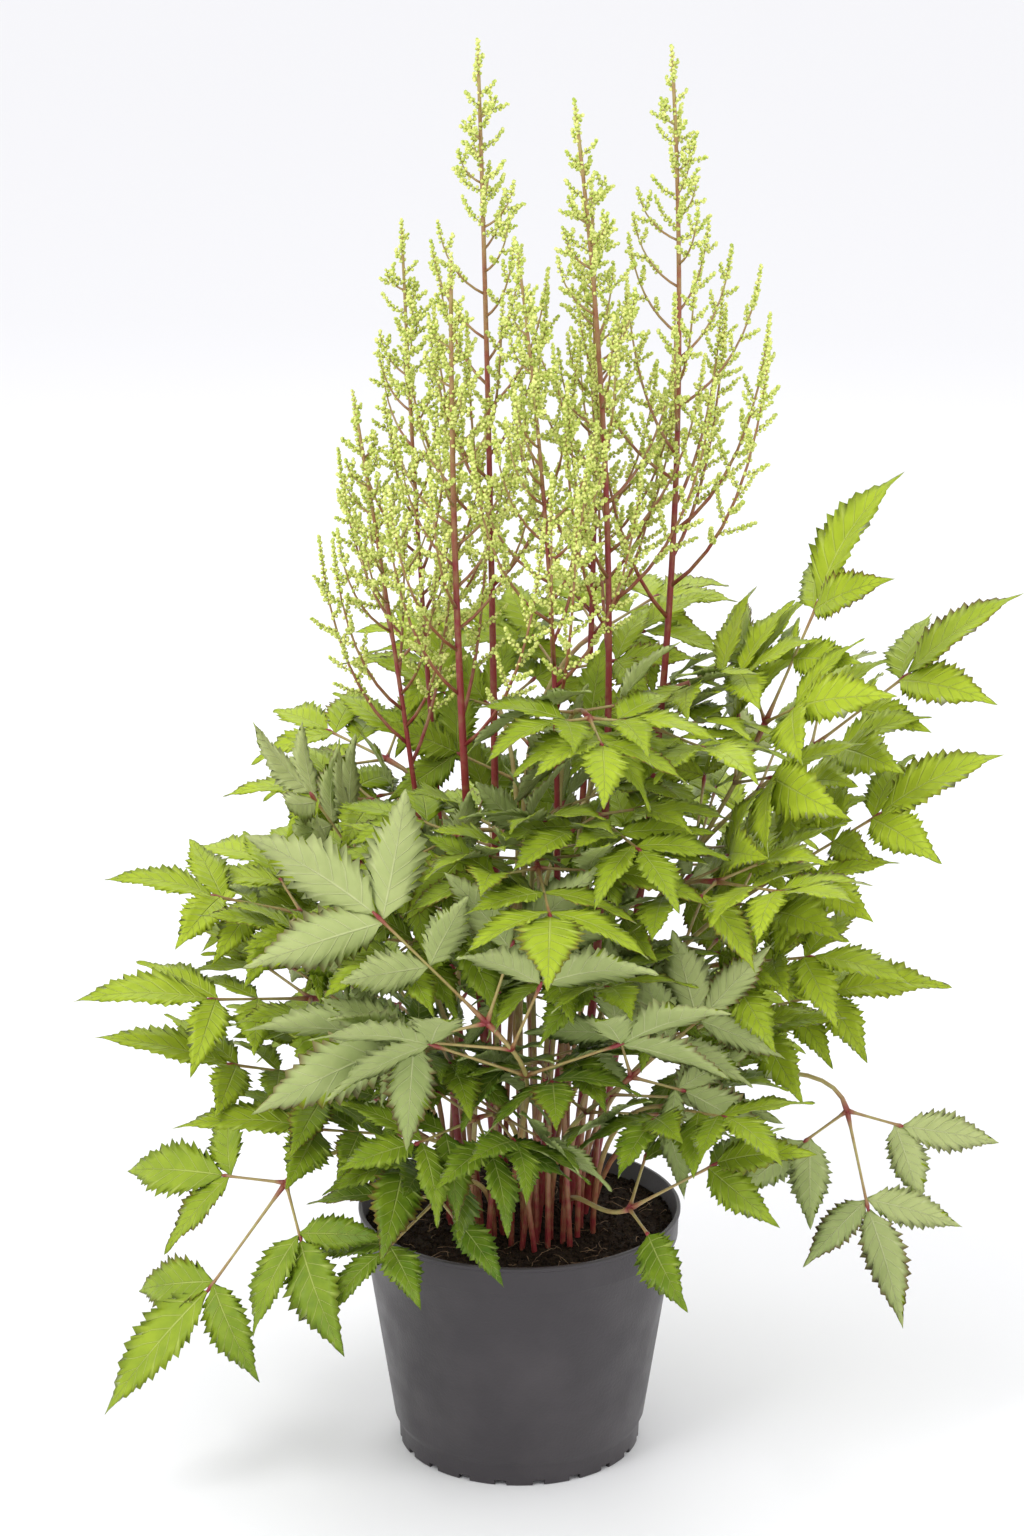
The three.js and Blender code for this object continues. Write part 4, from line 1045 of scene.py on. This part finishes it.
def bud_tree(bud, stalk):
    """Turns lines into thin stalks beaded with buds in a spiral."""
    sizes = {"Bud radius": "Float", "Bud spacing": "Float", "Stalk radius": "Float", "Seed": "Int"}
    inputs = {"Lines": "Geometry", **sizes}
    tree, given, result = new_group("budded spikes", "GeometryNodeTree", inputs, {"Spikes": "Geometry"})
    curve = node(tree, "GeometryNodeMeshToCurve", {"Mesh": given["Lines"]}).outputs[0]
    profile = node(tree, "GeometryNodeCurvePrimitiveCircle", {"Resolution": 3})
    tree.links.new(given["Stalk radius"], profile.inputs["Radius"])
    sweeping = {"Curve": curve, "Profile Curve": profile.outputs[0], "Fill Caps": True}
    stalks = node(tree, "GeometryNodeCurveToMesh", sweeping)
    spacing = {"Curve": curve, "Length": given["Bud spacing"]}
    spots = node(tree, "GeometryNodeResampleCurve", spacing, mode="LENGTH")
    step = calculated(tree, "MULTIPLY", tree.nodes.new("GeometryNodeInputIndex").outputs[0], GOLDEN_ANGLE)
    normal = tree.nodes.new("GeometryNodeInputNormal").outputs[0]
    tangent = tree.nodes.new("GeometryNodeInputTangent").outputs[0]
    turning = {"Vector": normal, "Axis": tangent, "Angle": step}
    spoke = node(tree, "ShaderNodeVectorRotate", turning, rotation_type="AXIS_ANGLE")
    along = tree.nodes.new("GeometryNodeSplineParameter").outputs["Factor"]
    taper = remapped(tree, along, 0.35, 1.0, 1.1, 0.3)
    width = calculated(tree, "MULTIPLY", taper, given["Bud radius"])
    reach = node(tree, "ShaderNodeVectorMath", {0: spoke.outputs[0], "Scale": width}, operation="SCALE")
    offset = {"Geometry": spots.outputs[0], "Offset": reach.outputs[0]}
    moved = node(tree, "GeometryNodeSetPosition", offset)
    sizes = {2: 0.75, 3: 1.2, "Seed": given["Seed"]}
    size = node(tree, "FunctionNodeRandomValue", sizes, data_type="FLOAT")
    ball = node(tree, "GeometryNodeMeshIcoSphere", {"Radius": given["Bud radius"], "Subdivisions": 1})
    round_ball = node(tree, "GeometryNodeSetShadeSmooth", {0: ball.outputs[0], "Shade Smooth": True})
    beading = {"Points": moved.outputs[0], "Instance": round_ball.outputs[0], "Scale": size.outputs[1]}
    beads = node(tree, "GeometryNodeInstanceOnPoints", beading)
    real = node(tree, "GeometryNodeRealizeInstances", {0: beads.outputs[0]})
    both = node(tree, "GeometryNodeJoinGeometry")
    for geometry, material in ((real, bud), (stalks, stalk)):
        painting = {"Geometry": geometry.outputs[0], "Material": material}
        tree.links.new(node(tree, "GeometryNodeSetMaterial", painting).outputs[0], both.inputs[0])
    tree.links.new(both.outputs[0], result["Spikes"])
    return tree


bud_looks = {"Roughness": 0.5, "Subsurface_Weight": 0.12, "Subsurface_Radius": (0.002, 0.002, 0.0008)}
flower_bud, tree, shader = new_material("flower bud", **bud_looks)
paint(tree, shader, mottle(tree, 0.0022, 2.0), (0.37, 0.48, 0.045), (0.84, 0.86, 0.29))

# one material for every stem and stalk: green where redness is 0, crimson where it is 1
stalk_looks = {"Roughness": 0.42, "Subsurface_Weight": 0.06, "Subsurface_Radius": (0.003, 0.001, 0.0006)}
stalk_skin, tree, shader = new_material("stalk", **stalk_looks)
uneven = calculated(tree, "MULTIPLY_ADD", mottle(tree, 0.006, 3.0), 0.3, -0.15)
red_share = calculated(tree, "ADD", stored(tree, "redness"), uneven, clamp=True)
paint(tree, shader, red_share, (0.42, 0.38, 0.13), (0.25, 0.028, 0.032))

bud_nodes = bud_tree(flower_bud, stalk_skin)


STEM_SIDES = 10
STEM_POINTS = 34
BRANCH_SIDES = 5
BRANCH_POINTS = 9
BRANCH_RADII = (0.95, 0.35)  # from its root to its end, for a branch of middling length


def stem_parts(number):
    """The main stem and its bare branches."""
    panicle = PANICLES[number]
    parts = Parts()
    heights = np.linspace(PEAT_TOP, panicle[2][2], STEM_POINTS)
    line = [vector(*panicle[0], PEAT_TOP - FOOT_DEPTH), *(stem_point(panicle, z) for z in heights)]
    radii = [panicle[5], *(stem_radius(panicle, z) for z in heights)]
    radii[-1] = 0.5
    points, faces, shares = tube(line, radii, STEM_SIDES, vector(0, 1, 0))
    parts.add(points, faces, redness=np.clip(1.15 - 0.85 * np.maximum(0, shares - 0.55) / 0.45, 0.3, 1))
    for branch in branches[number]:
        line = [branch_point(branch, t) for t in np.linspace(0, 1, BRANCH_POINTS)]
        radii = np.linspace(*BRANCH_RADII, BRANCH_POINTS) * (0.7 + branch["length"] / 260)
        points, faces, shares = tube(line, radii, BRANCH_SIDES, cross(branch["outward"], UP))
        height = (branch["root"][2] - panicle[3]) / (panicle[2][2] - panicle[3])
        parts.add(points, faces, redness=np.clip(0.95 - 0.6 * height - 0.5 * shares, 0.2, 1))
    return parts


def lines_object(name, lines):
    """Lines of points in millimetres as the edges of one mesh object in metres."""
    edges = []
    first = 0
    for line in lines:
        edges += [(first + i, first + i + 1) for i in range(len(line) - 1)]
        first += len(line)
    mesh = bpy.data.meshes.new(name)
    mesh.from_pydata([tuple(p * MM) for line in lines for p in line], edges, [])
    made = bpy.data.objects.new(name, mesh)
    bpy.context.collection.objects.link(made)
    return made


for number, panicle in enumerate(PANICLES):
    stem = stem_parts(number).made("stem", [stalk_skin])
    draw = random_from(301 + 17 * number)
    lines = top_spikes(panicle, draw)
    for branch in branches[number]:
        lines += spikes_of(branch, draw)
    spikes = strewn(lines_object("spikes", lines), bud_nodes, **BUD_SIZES, Seed=number)
    flower = joined("panicle_%d_fine" % (number + 1), [stem, spikes])
    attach(flower, "root")
    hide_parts("panicle_%d" % (number + 1))


# ---------- Compound leaves ----------
# Each leaf is one tan and pink stalk with swollen crimson joints that forks into leaflets: thin, doubly
# toothed blades, green above and pale below, grown along an arched rib. Fine leaflets take the places of
# the part's own solid, then smaller ones fill in where there is room.

ROOT_SHARE = 0.14  # how much of a leaflet may meet its own stalk and neighbours
# share of the length and half width there, as a share of the widest, then where the rib has points
TEST_OUTLINE = ((0.14, 0.66), (0.36, 1.0), (0.62, 0.84), (0.8, 0.46))
RIB_STATIONS = (0.3, 0.66)
# node that a leaflet hangs on, bearing, length as a share of the leaf's reach, how far back on its stalk
LEAFLET_PLAN = [
    ("outer", 0, 0.56, 0),
    ("outer", 60, 0.46, 5),
    ("outer", -60, 0.46, 6),
    ("left_node", 66, 0.52, 0),
    ("right_node", -66, 0.52, 0),
    ("left_node", 8, 0.38, 4),
    ("right_node", -8, 0.38, 4),
    ("left_node", 128, 0.38, 5),
    ("right_node", -128, 0.38, 5),
    ("inner", 66, 0.32, 0),
    ("inner", -66, 0.32, 0),
]
BEARING_DRAW = (-7, 7)  # degrees, as are the next two and the fold
TILT_DRAW = (-4, 14)
ROLL_DRAW = (-10, 10)
LENGTH_DRAW = (0.92, 1.12)  # of its share of the leaf's reach
SHORTEST_LEAFLET = 54
WIDTH_DRAW = (0.39, 0.5)  # of its length
DROOP_DRAW = (0.3, 0.75)  # radians from its root to its tip
FOLD_DRAW = (8, 18)
# pitch, yaw and roll in degrees that a leaflet may take to get clear, the gentlest first
BENDS = (
    ((0, 0, 0), (10, 0, 0), (-10, 0, 0), (0, 10, 0), (0, -10, 0))
    + ((18, 0, 12), (-18, 0, -12), (18, 0, -12), (-18, 0, 12))
    + ((12, 14, 0), (12, -14, 0), (-12, 14, 0), (-12, -14, 0))
    + ((30, 0, 0), (-30, 0, 0), (0, 0, 26), (0, 0, -26))
    + ((24, 20, 0), (24, -20, 0), (-24, 20, 0), (-24, -20, 0), (42, 0, 0), (-42, 0, 0))
)
SHRINKS = (1, 0.84, 0.7, 0.58)


def on_leaflet(leaflet, u, x):
    """Points at share u of the leaflet's length and x to its left, with the blade's upward normal."""
    u, x = np.asarray(u, dtype=float)[:, None], np.asarray(x, dtype=float)[:, None]
    bend = leaflet["droop"] * u
    c, s = np.cos(bend), np.sin(bend)
    reach = leaflet["length"] / leaflet["droop"]
    up, along = leaflet["up"], leaflet["along"]
    rib = leaflet["root"] + (s * along + (c - 1) * up) * reach
    normal = up * c + along * s
    left = cross(up, along)
    fold = leaflet["fold"]
    return rib + left * x * math.cos(fold) + normal * np.abs(x) * math.sin(fold), normal


def test_blade_faces(stations):
    """The triangles of a plain blade, whose points are root, left edge, right edge, tip and ribs."""
    count = len(stations) - 2
    chains = [
        [0, *range(1, count + 1), 2 * count + 1],
        [0, *range(count + 1, 2 * count + 1), 2 * count + 1],
    ]
    faces = []
    for lower in range(2):
        rib = [2 * count + 2 + 2 * lower, 2 * count + 3 + 2 * lower]
        for right, chain in enumerate(chains):
            flip = lower != right
            at = 0
            for i in range(len(chain) - 1):
                middle = (stations[i] + stations[i + 1]) / 2
                if abs(middle - RIB_STATIONS[0]) > abs(middle - RIB_STATIONS[1]) and at == 0:
                    faces.append((rib[0], rib[1], chain[i])[:: -1 if flip else 1])
                    at = 1
                faces.append((rib[at], chain[i + 1], chain[i])[:: -1 if flip else 1])
    return faces


def test_blade(leaflet, start):
    half = leaflet["width"] / 2
    shares = [u for u, _ in TEST_OUTLINE if u > start]
    widths = [w * half + TEST_MARGIN for u, w in TEST_OUTLINE if u > start]
    tip = 1 + TEST_MARGIN / leaflet["length"]
    u = [start, *shares, *shares, tip]
    x = [0, *widths, *(-w for w in widths), 0]
    outline, _ = on_leaflet(leaflet, u, x)
    ribs, normals = on_leaflet(leaflet, RIB_STATIONS, (0, 0))
    thick = normals * (BLADE_THICKNESS / 2 + TEST_MARGIN)
    points = np.concatenate([outline, ribs + thick, ribs - thick])
    return shape_of(points, test_blade_faces([start, *shares, 1]))


def bent(leaflet, bend, shrink):
    pitch, yaw, roll = (math.radians(a) for a in bend)
    across = cross(leaflet["up"], leaflet["along"])
    along = turned(leaflet["along"], across, -pitch)
    up = turned(leaflet["up"], across, -pitch)
    along = turned(along, up, yaw)
    up = turned(up, along, roll)
    size = {"length": leaflet["length"] * shrink, "width": leaflet["width"] * shrink}
    return {**leaflet, "along": along, "up": up, **size}


def settled_leaflet(leaflet, owner):
    """The leaflet at its first bend and size that stays clear of all that is placed, or None."""
    for shrink in SHRINKS:
        for bend in BENDS:
            tried = bent(leaflet, bend, shrink)
            free = test_blade(tried, ROOT_SHARE)
            if any(placed_owners[i] == owner and crossing(free, placed_free[i]) for i in near(free)):
                continue
            whole = test_blade(tried, 0)
            if is_clear([whole], owner):
                place([whole], owner, [free])
                return tried
    return None


def blade_sizes(length, draw):
    return {
        "length": length,
        "width": length * draw(*WIDTH_DRAW),
        "droop": draw(*DROOP_DRAW),
        "fold": math.radians(draw(*FOLD_DRAW)),
    }


def leaflets_of(skeleton, index):
    """The leaflets that a leaf is meant to have, the ones nearest its tip first."""
    draw = random_from(977 + 61 * index)
    wanted = []
    for name, bearing, share, back in LEAFLET_PLAN:
        angle = math.radians(bearing + draw(*BEARING_DRAW))
        tilt = math.radians(draw(*TILT_DRAW))
        roll = math.radians(draw(*ROLL_DRAW))
        length = max(SHORTEST_LEAFLET, skeleton["reach"] * share * draw(*LENGTH_DRAW))
        sizes = blade_sizes(length, draw)
        flat = turned(skeleton["along"], skeleton["up"], angle)
        across = cross(skeleton["up"], flat)
        along = turned(flat, across, -tilt)
        up = turned(turned(skeleton["up"], across, -tilt), along, roll)
        root = skeleton[name] - unit(skeleton[name] - skeleton["hub"]) * back
        wanted.append({"root": root, "along": along, "up": up, **sizes})
    return wanted


# leaves that stay open: how many more leaflets each gets
OPEN_LEAVES = {"left_drooping": 0, "right_drooping": 2, "over_peat_right": 0, "over_rim_left": 0}
# the open space over the peat at the front of the pot: its middle, half width, back and top
OPEN_FRONT = (15, 80, -45, 195)


def hangs_in_front(leaflet):
    """Whether a leaflet would hide the open peat at the front of the pot."""
    x, y, z = leaflet["root"] + leaflet["along"] * leaflet["length"] * 0.6
    middle, half, back, top = OPEN_FRONT
    return abs(x - middle) < half and y < back and z < top


def stays_within(leaflet):
    """Whether a settled leaflet ends inside the box of the part's own solids."""
    tip = on_leaflet(leaflet, (1.0,), (0.0,))[0][0] * MM
    return all(low <= at <= high for low, at, high in zip(frame_bounds[0], tip, frame_bounds[1]))


def extra_leaflets(wanted, owner):
    """Those of the wanted leaflets that leave the peat in sight, find room and stay within the box."""
    settled = [settled_leaflet(leaflet, owner) for leaflet in wanted if not hangs_in_front(leaflet)]
    return [leaflet for leaflet in settled if leaflet and stays_within(leaflet)]


PEAT_ROOM = 4  # what leaflets keep clear over the peat
peat_triangles = [(k, n, RING_SIDES) for k, n in around(RING_SIDES)]
peat_points = [*ring(RIM_RADIUS, PEAT_TOP + PEAT_ROOM), (0, 0, PEAT_TOP + PEAT_ROOM)]
place([shape_of(peat_points, peat_triangles)], "peat")
wanted_leaflets = [leaflets_of(skeleton, i) for i, skeleton in enumerate(skeletons)]
leaflets = []
for (name, _, _, _, count), wanted in zip(LEAVES, wanted_leaflets):
    leaflets.append([settled_leaflet(leaflet, name) for leaflet in wanted[:count]])
for (name, _, _, _, count), wanted, settled in zip(LEAVES, wanted_leaflets, leaflets):
    more = OPEN_LEAVES.get(name, len(wanted))
    settled += extra_leaflets(wanted[count : count + more], name)

# Pairs of side stalks lower down each leaf: share up its stalk, and length as a share of the leaf's reach.
LOW_PAIRS = ((0.86, 0.34), (0.68, 0.38))
SIDE_ANGLES = (60, 45, 75, 90)
SIDE_LEAFLETS = ((0, 0.5), (62, 0.4), (-62, 0.4))  # bearing, and length as a share of the leaf's reach
SHORTEST_SIDE_LEAFLET = 50
SIDE_BEARING_DRAW = (-8, 8)
SIDE_TILT_DRAW = (-4, 16)
SIDE_LENGTH_DRAW = (0.9, 1.1)
SIDE_OVER_PEAT = 20  # how far over the peat a side stalk has to end
LOWEST_SIDE = 190  # the lowest height at which a side stalk may end and still gets leaflets


def settled_side(skeleton, share, side, length, owner):
    """A side stalk that leaves the main one at that share and stays clear, or None."""
    root = bezier(skeleton["curve"], share)
    along = unit(bezier(skeleton["curve"], share + 0.03) - root)
    up = flattened(skeleton["up"] + vector(0, 0, 0.8), along)
    for angle in SIDE_ANGLES:
        direction = turned(along, up, side * math.radians(angle))
        end = root + direction * length
        thick = STALK_RADIUS + TEST_MARGIN
        radii = [thick, thick - STALK_THINNING]
        shape = shape_of(*rod([root, end + direction * STALK_OVERRUN], radii, 3, up))
        if end[2] > PEAT_TOP + SIDE_OVER_PEAT and is_clear([shape], owner):
            place([shape], owner)
            return {"root": root, "end": end, "along": direction, "up": flattened(up, direction)}
    return None


def side_leaflets(side, reach, draw):
    wanted = []
    for bearing, share in SIDE_LEAFLETS:
        flat = turned(side["along"], side["up"], math.radians(bearing + draw(*SIDE_BEARING_DRAW)))
        across = cross(side["up"], flat)
        tilt = math.radians(draw(*SIDE_TILT_DRAW))
        length = max(SHORTEST_SIDE_LEAFLET, reach * share * draw(*SIDE_LENGTH_DRAW))
        along, up = turned(flat, across, -tilt), turned(side["up"], across, -tilt)
        wanted.append({"root": side["end"], "along": along, "up": up, **blade_sizes(length, draw)})
    return wanted


sides = []
for index, ((name, *_), skeleton) in enumerate(zip(LEAVES, skeletons)):
    draw = random_from(7001 + 29 * index)
    own = []
    for share, length in () if name in OPEN_LEAVES else LOW_PAIRS:
        for turn in (1, -1):
            side = settled_side(skeleton, share, turn, length * skeleton["reach"], name)
            if side and side["end"][2] > LOWEST_SIDE:
                own.append(side)
                leaflets[index] += extra_leaflets(side_leaflets(side, skeleton["reach"], draw), name)
    sides.append(own)

TEETH = 8  # large teeth down each side, each with a small one before it
# share of a tooth's step and of the blade's width there: notch, small tip, small notch, large tip
TOOTH = ((0.0, 0.76), (0.3, 0.93), (0.42, 0.85), (0.85, 1.07))


def plain_width(u):
    """The half width at share u of the length, without the teeth."""
    return (1 - 0.42 * np.clip((u - 0.55) / 0.4, 0, 1)) * np.sin(math.pi * u**0.78)


def margin():
    """Shares of the length and of the half width down one toothed side, from root to tip."""
    shares, widths = [0.03], [0.06]
    step = 0.84 / TEETH
    for k in range(TEETH):
        for part, depth in TOOTH:
            u = 0.09 + step * (k + part)
            shares.append(u)
            widths.append(depth * plain_width(u))
    shares.append(0.965)
    widths.append(0.06)
    return np.array(shares), np.array(widths)


MARGIN_SHARES, MARGIN_WIDTHS = margin()
COLUMNS = np.array((-1.0, -0.5, 0.0, 0.5, 1.0))  # the grid's points across the blade
INNER_WIDTH = 0.93  # where the inner columns lie, as a share of the plain half width
VEIN_SLANT = 0.2  # how much further on a side vein meets the margin than it left the midrib
WAVE = 0.9  # how far the margin waves
PUCKER = 0.42  # how far the blade swells between two side veins
RIB_HALF = 0.45  # half thicknesses
BLADE_HALF = 0.22


def blade_grid():
    """What every fine blade shares: shares and widths of its grid, its faces, slots and uvs."""
    rows, columns = len(MARGIN_SHARES), len(COLUMNS)
    v = np.tile(COLUMNS, rows)
    edge = np.repeat(MARGIN_SHARES, columns)
    outer_width = np.repeat(MARGIN_WIDTHS, columns)
    width = np.where(np.abs(v) == 1, outer_width, INNER_WIDTH * plain_width(edge))
    vein = edge - VEIN_SLANT * np.sin(math.pi * edge) * (1 - np.abs(v))
    inner = np.abs(v) < 1
    top = np.arange(rows * columns).reshape(rows, columns)
    below = top.copy()
    within = columns - 2  # the margins are shared by both faces
    below[:, 1:-1] = rows * columns + np.arange(rows * within).reshape(rows, within)
    root = rows * (columns + within)
    tip = root + 1
    cells = range(columns - 1)
    faces = []
    slots = []
    for side, grid in enumerate((top, below)):
        turn = 1 if side == 0 else -1
        made = []
        for i in range(rows - 1):
            made += [(grid[i, k], grid[i, k + 1], grid[i + 1, k + 1], grid[i + 1, k]) for k in cells]
        made += [(root, grid[0, k + 1], grid[0, k]) for k in cells]
        made += [(tip, grid[-1, k], grid[-1, k + 1]) for k in cells]
        faces += [f[::-turn] for f in made]
        slots += [side] * len(made)
    rib = np.repeat(vein.reshape(rows, columns)[:, columns // 2], columns)
    return v, vein, width, inner, faces, slots, rib


GRID_V, GRID_U, GRID_WIDTH, GRID_INNER, GRID_FACES, GRID_SLOTS, GRID_RIB = blade_grid()


def fine_blade(leaflet, phase):
    """A leaflet's points and uvs: a waved, puckered blade that is thickest at its midrib."""
    half = leaflet["width"] / 2
    surface, normal = on_leaflet(leaflet, GRID_U, GRID_V * GRID_WIDTH * half)
    wave = WAVE * np.sin(15 * GRID_U + phase + 1.3 * np.sign(GRID_V)) * GRID_V**2
    pucker = PUCKER * np.sin(2 * math.pi * GRID_U * TEETH) * (1 - np.abs(2 * np.abs(GRID_V) - 1))
    surface = surface + normal * (wave + pucker)[:, None]
    thick = np.where(GRID_V == 0, RIB_HALF, BLADE_HALF)[:, None] * normal * GRID_INNER[:, None]
    ends, _ = on_leaflet(leaflet, (0.0, 1.0), (0.0, 0.0))
    points = np.concatenate([surface + thick, (surface - thick)[GRID_INNER], ends])
    across = np.concatenate([GRID_V, GRID_V[GRID_INNER], (0, 0)])
    lengthways = np.concatenate([GRID_RIB, GRID_RIB[GRID_INNER], (0, 1)])
    return points, np.stack([lengthways, across * 0.5 + 0.5], 1)


def vein_group():
    """Where a leaflet's midrib and side veins run, and how near a point is to the margin."""
    widths = {"Side veins": 9.5, "Midrib width": 0.06, "Vein width": 0.09}
    masks = {"Veins": "Float", "Margin": "Float"}
    tree, given, result = new_group("leaf veins", "ShaderNodeTree", widths, masks)
    uv = node(tree, "ShaderNodeUVMap", uv_map="UVMap")
    parts = node(tree, "ShaderNodeSeparateXYZ", {0: uv.outputs[0]})
    across = calculated(tree, "ABSOLUTE", calculated(tree, "MULTIPLY_ADD", parts.outputs["Y"], 2.0, -1.0))
    midrib = remapped(tree, across, 0.0, given["Midrib width"], 1.0, 0.0, "SMOOTHSTEP")
    order = calculated(tree, "MULTIPLY", parts.outputs["X"], given["Side veins"])
    saw = calculated(tree, "PINGPONG", order, 0.5)
    side = remapped(tree, saw, 0.0, given["Vein width"], 0.7, 0.0, "SMOOTHSTEP")
    fade = remapped(tree, across, 0.6, 1.0, 1.0, 0.3)
    veins = calculated(tree, "MAXIMUM", midrib, calculated(tree, "MULTIPLY", side, fade))
    tree.links.new(veins, result["Veins"])
    tree.links.new(remapped(tree, across, 0.82, 1.0), result["Margin"])
    return tree


VEINS = vein_group()
DEPTH_SHARE = 0.7  # how much less a leaf's place to the front or back counts than its place to the side
OUTWARD_SHARE = 2.2  # how much more its distance from the middle counts than its height
SHADED, LIT = 0.36, 0.75  # the sums of both where the painted shade is darkest and the painted light brightest
TONE_SHARE = 0.45  # how much a leaf's own tone adds
PATCH_SHARE = 0.16
BLUSH_COLOUR = (0.20, 0.07, 0.03)
LEAF_LOOKS = {
    "Subsurface_Weight": 0.08,
    "Subsurface_Radius": (0.002, 0.003, 0.0008),
    "Specular_IOR_Level": 0.22,
}


def leaf_material(name, dark, bright, vein, vein_share, roughness, relief):
    """One face of a leaf: painted light higher and further out and painted shade lower and further in, by its
    own tone and in patches, with veins.
    """
    material, tree, shader = new_material(name, Roughness=roughness, **LEAF_LOOKS)
    veins = node(tree, "ShaderNodeGroup", node_tree=VEINS).outputs
    place_on_plant = coordinates(tree)
    height = node(tree, "ShaderNodeSeparateXYZ", {0: place_on_plant}).outputs["Z"]
    flattening = {0: place_on_plant, 1: (1.0, DEPTH_SHARE, 0.0)}
    flat = node(tree, "ShaderNodeVectorMath", flattening, operation="MULTIPLY").outputs[0]
    out = node(tree, "ShaderNodeVectorMath", {0: flat}, operation="LENGTH").outputs["Value"]
    outer = calculated(tree, "MULTIPLY_ADD", out, OUTWARD_SHARE, height)
    # painted light and shade: leaves high and far out are painted brighter, low and inner ones painted darker
    lit = remapped(tree, outer, SHADED, LIT, to_high=0.7)
    toned = calculated(tree, "MULTIPLY_ADD", stored(tree, "tone"), TONE_SHARE, lit)
    patched = calculated(tree, "MULTIPLY_ADD", mottle(tree, 0.012, 4.0), PATCH_SHARE, toned, clamp=True)
    green = colour_mix(tree, patched, dark, bright)
    veined = colour_mix(tree, calculated(tree, "MULTIPLY", veins["Veins"], vein_share), green, vein)
    edge = calculated(tree, "MULTIPLY", veins["Margin"], stored(tree, "blush"))
    paint(tree, shader, edge, veined, BLUSH_COLOUR)
    bump(tree, shader, veins["Veins"], relief, 0.8)
    return material


leaf_top = leaf_material(
    "leaf upper face", (0.030, 0.095, 0.005), (0.43, 0.545, 0.03), (0.60, 0.67, 0.20), 0.5, 0.46, -0.0008
)
leaf_under = leaf_material(
    "leaf lower face", (0.195, 0.27, 0.07), (0.49, 0.545, 0.225), (0.61, 0.65, 0.34), 0.6, 0.7, 0.0006
)


STALK_SIDES = 7
# where the points of a stalk lie along it, its radius and its redness there
FORK_STALK = (
    (0, 0.08, 0.18, 0.4, 0.7, 0.9, 0.97, 1.03),
    (1.9, 1.5, 1.0, 0.85, 0.8, 0.95, 1.35, 0.7),
    (1.0, 0.8, 0.35, 0.22, 0.25, 0.5, 1.0, 1.0),
)
SIDE_STALK = (
    (0, 0.1, 0.3, 0.8, 0.95, 1.03),
    (1.7, 1.1, 0.85, 0.8, 1.3, 0.7),
    (1.0, 0.5, 0.25, 0.3, 1.0, 1.0),
)


def straight_stalk(plan, start, end, sideways):
    shares, radii, red = plan
    return start + np.outer(shares, end - start), radii, red, sideways


def stalk_lines(skeleton):
    """The leaf's stalks as lines with radii and redness: thick crimson joints on tan and pink."""
    t = np.linspace(0, 1, 19)
    petiole = [skeleton["foot"], *(bezier(skeleton["curve"], share) for share in t)]
    radii = [PETIOLE_RADIUS, *(PETIOLE_RADIUS - 0.45 * t + 0.7 * np.maximum(0, (t - 0.93) / 0.07))]
    red = [0.9, *np.clip(0.95 - 1.7 * t, 0.18, 1)]
    red[-2:] = [0.55, 1.0]
    yield petiole, radii, red, skeleton["left"]
    for name in FORK:
        yield straight_stalk(FORK_STALK, skeleton["hub"], skeleton[name], skeleton["up"])


for index, ((name, *_), skeleton) in enumerate(zip(LEAVES, skeletons)):
    draw = random_from(4001 + 13 * index)
    parts = Parts()
    own = [straight_stalk(SIDE_STALK, side["root"], side["end"], side["up"]) for side in sides[index]]
    for line, radii, red, sideways in (*stalk_lines(skeleton), *own):
        points, faces, shares = tube(line, radii, STALK_SIDES, sideways)
        redness = np.interp(shares, np.linspace(0, 1, len(red)), red)
        parts.add(points, faces, redness=redness, tone=0, blush=0)
    uvs = [np.zeros((parts.count, 2))]
    slots = [2] * len(parts.faces)
    leaf_tone = draw(0, 0.7)
    for leaflet in leaflets[index]:
        tone, blush, phase = leaf_tone + draw(0, 0.35), draw(-1.6, 0.9), draw(0, 6)
        if leaflet is None:
            continue
        points, uv = fine_blade(leaflet, phase)
        parts.add(points, GRID_FACES, redness=0, tone=tone, blush=max(0, blush))
        uvs.append(uv)
        slots += GRID_SLOTS
    materials = [leaf_top, leaf_under, stalk_skin]
    leaf = parts.made("leaf_%s_fine" % name, materials, slots=slots, uvs=np.concatenate(uvs))
    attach(leaf, "root")
    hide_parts("leaf_" + name)
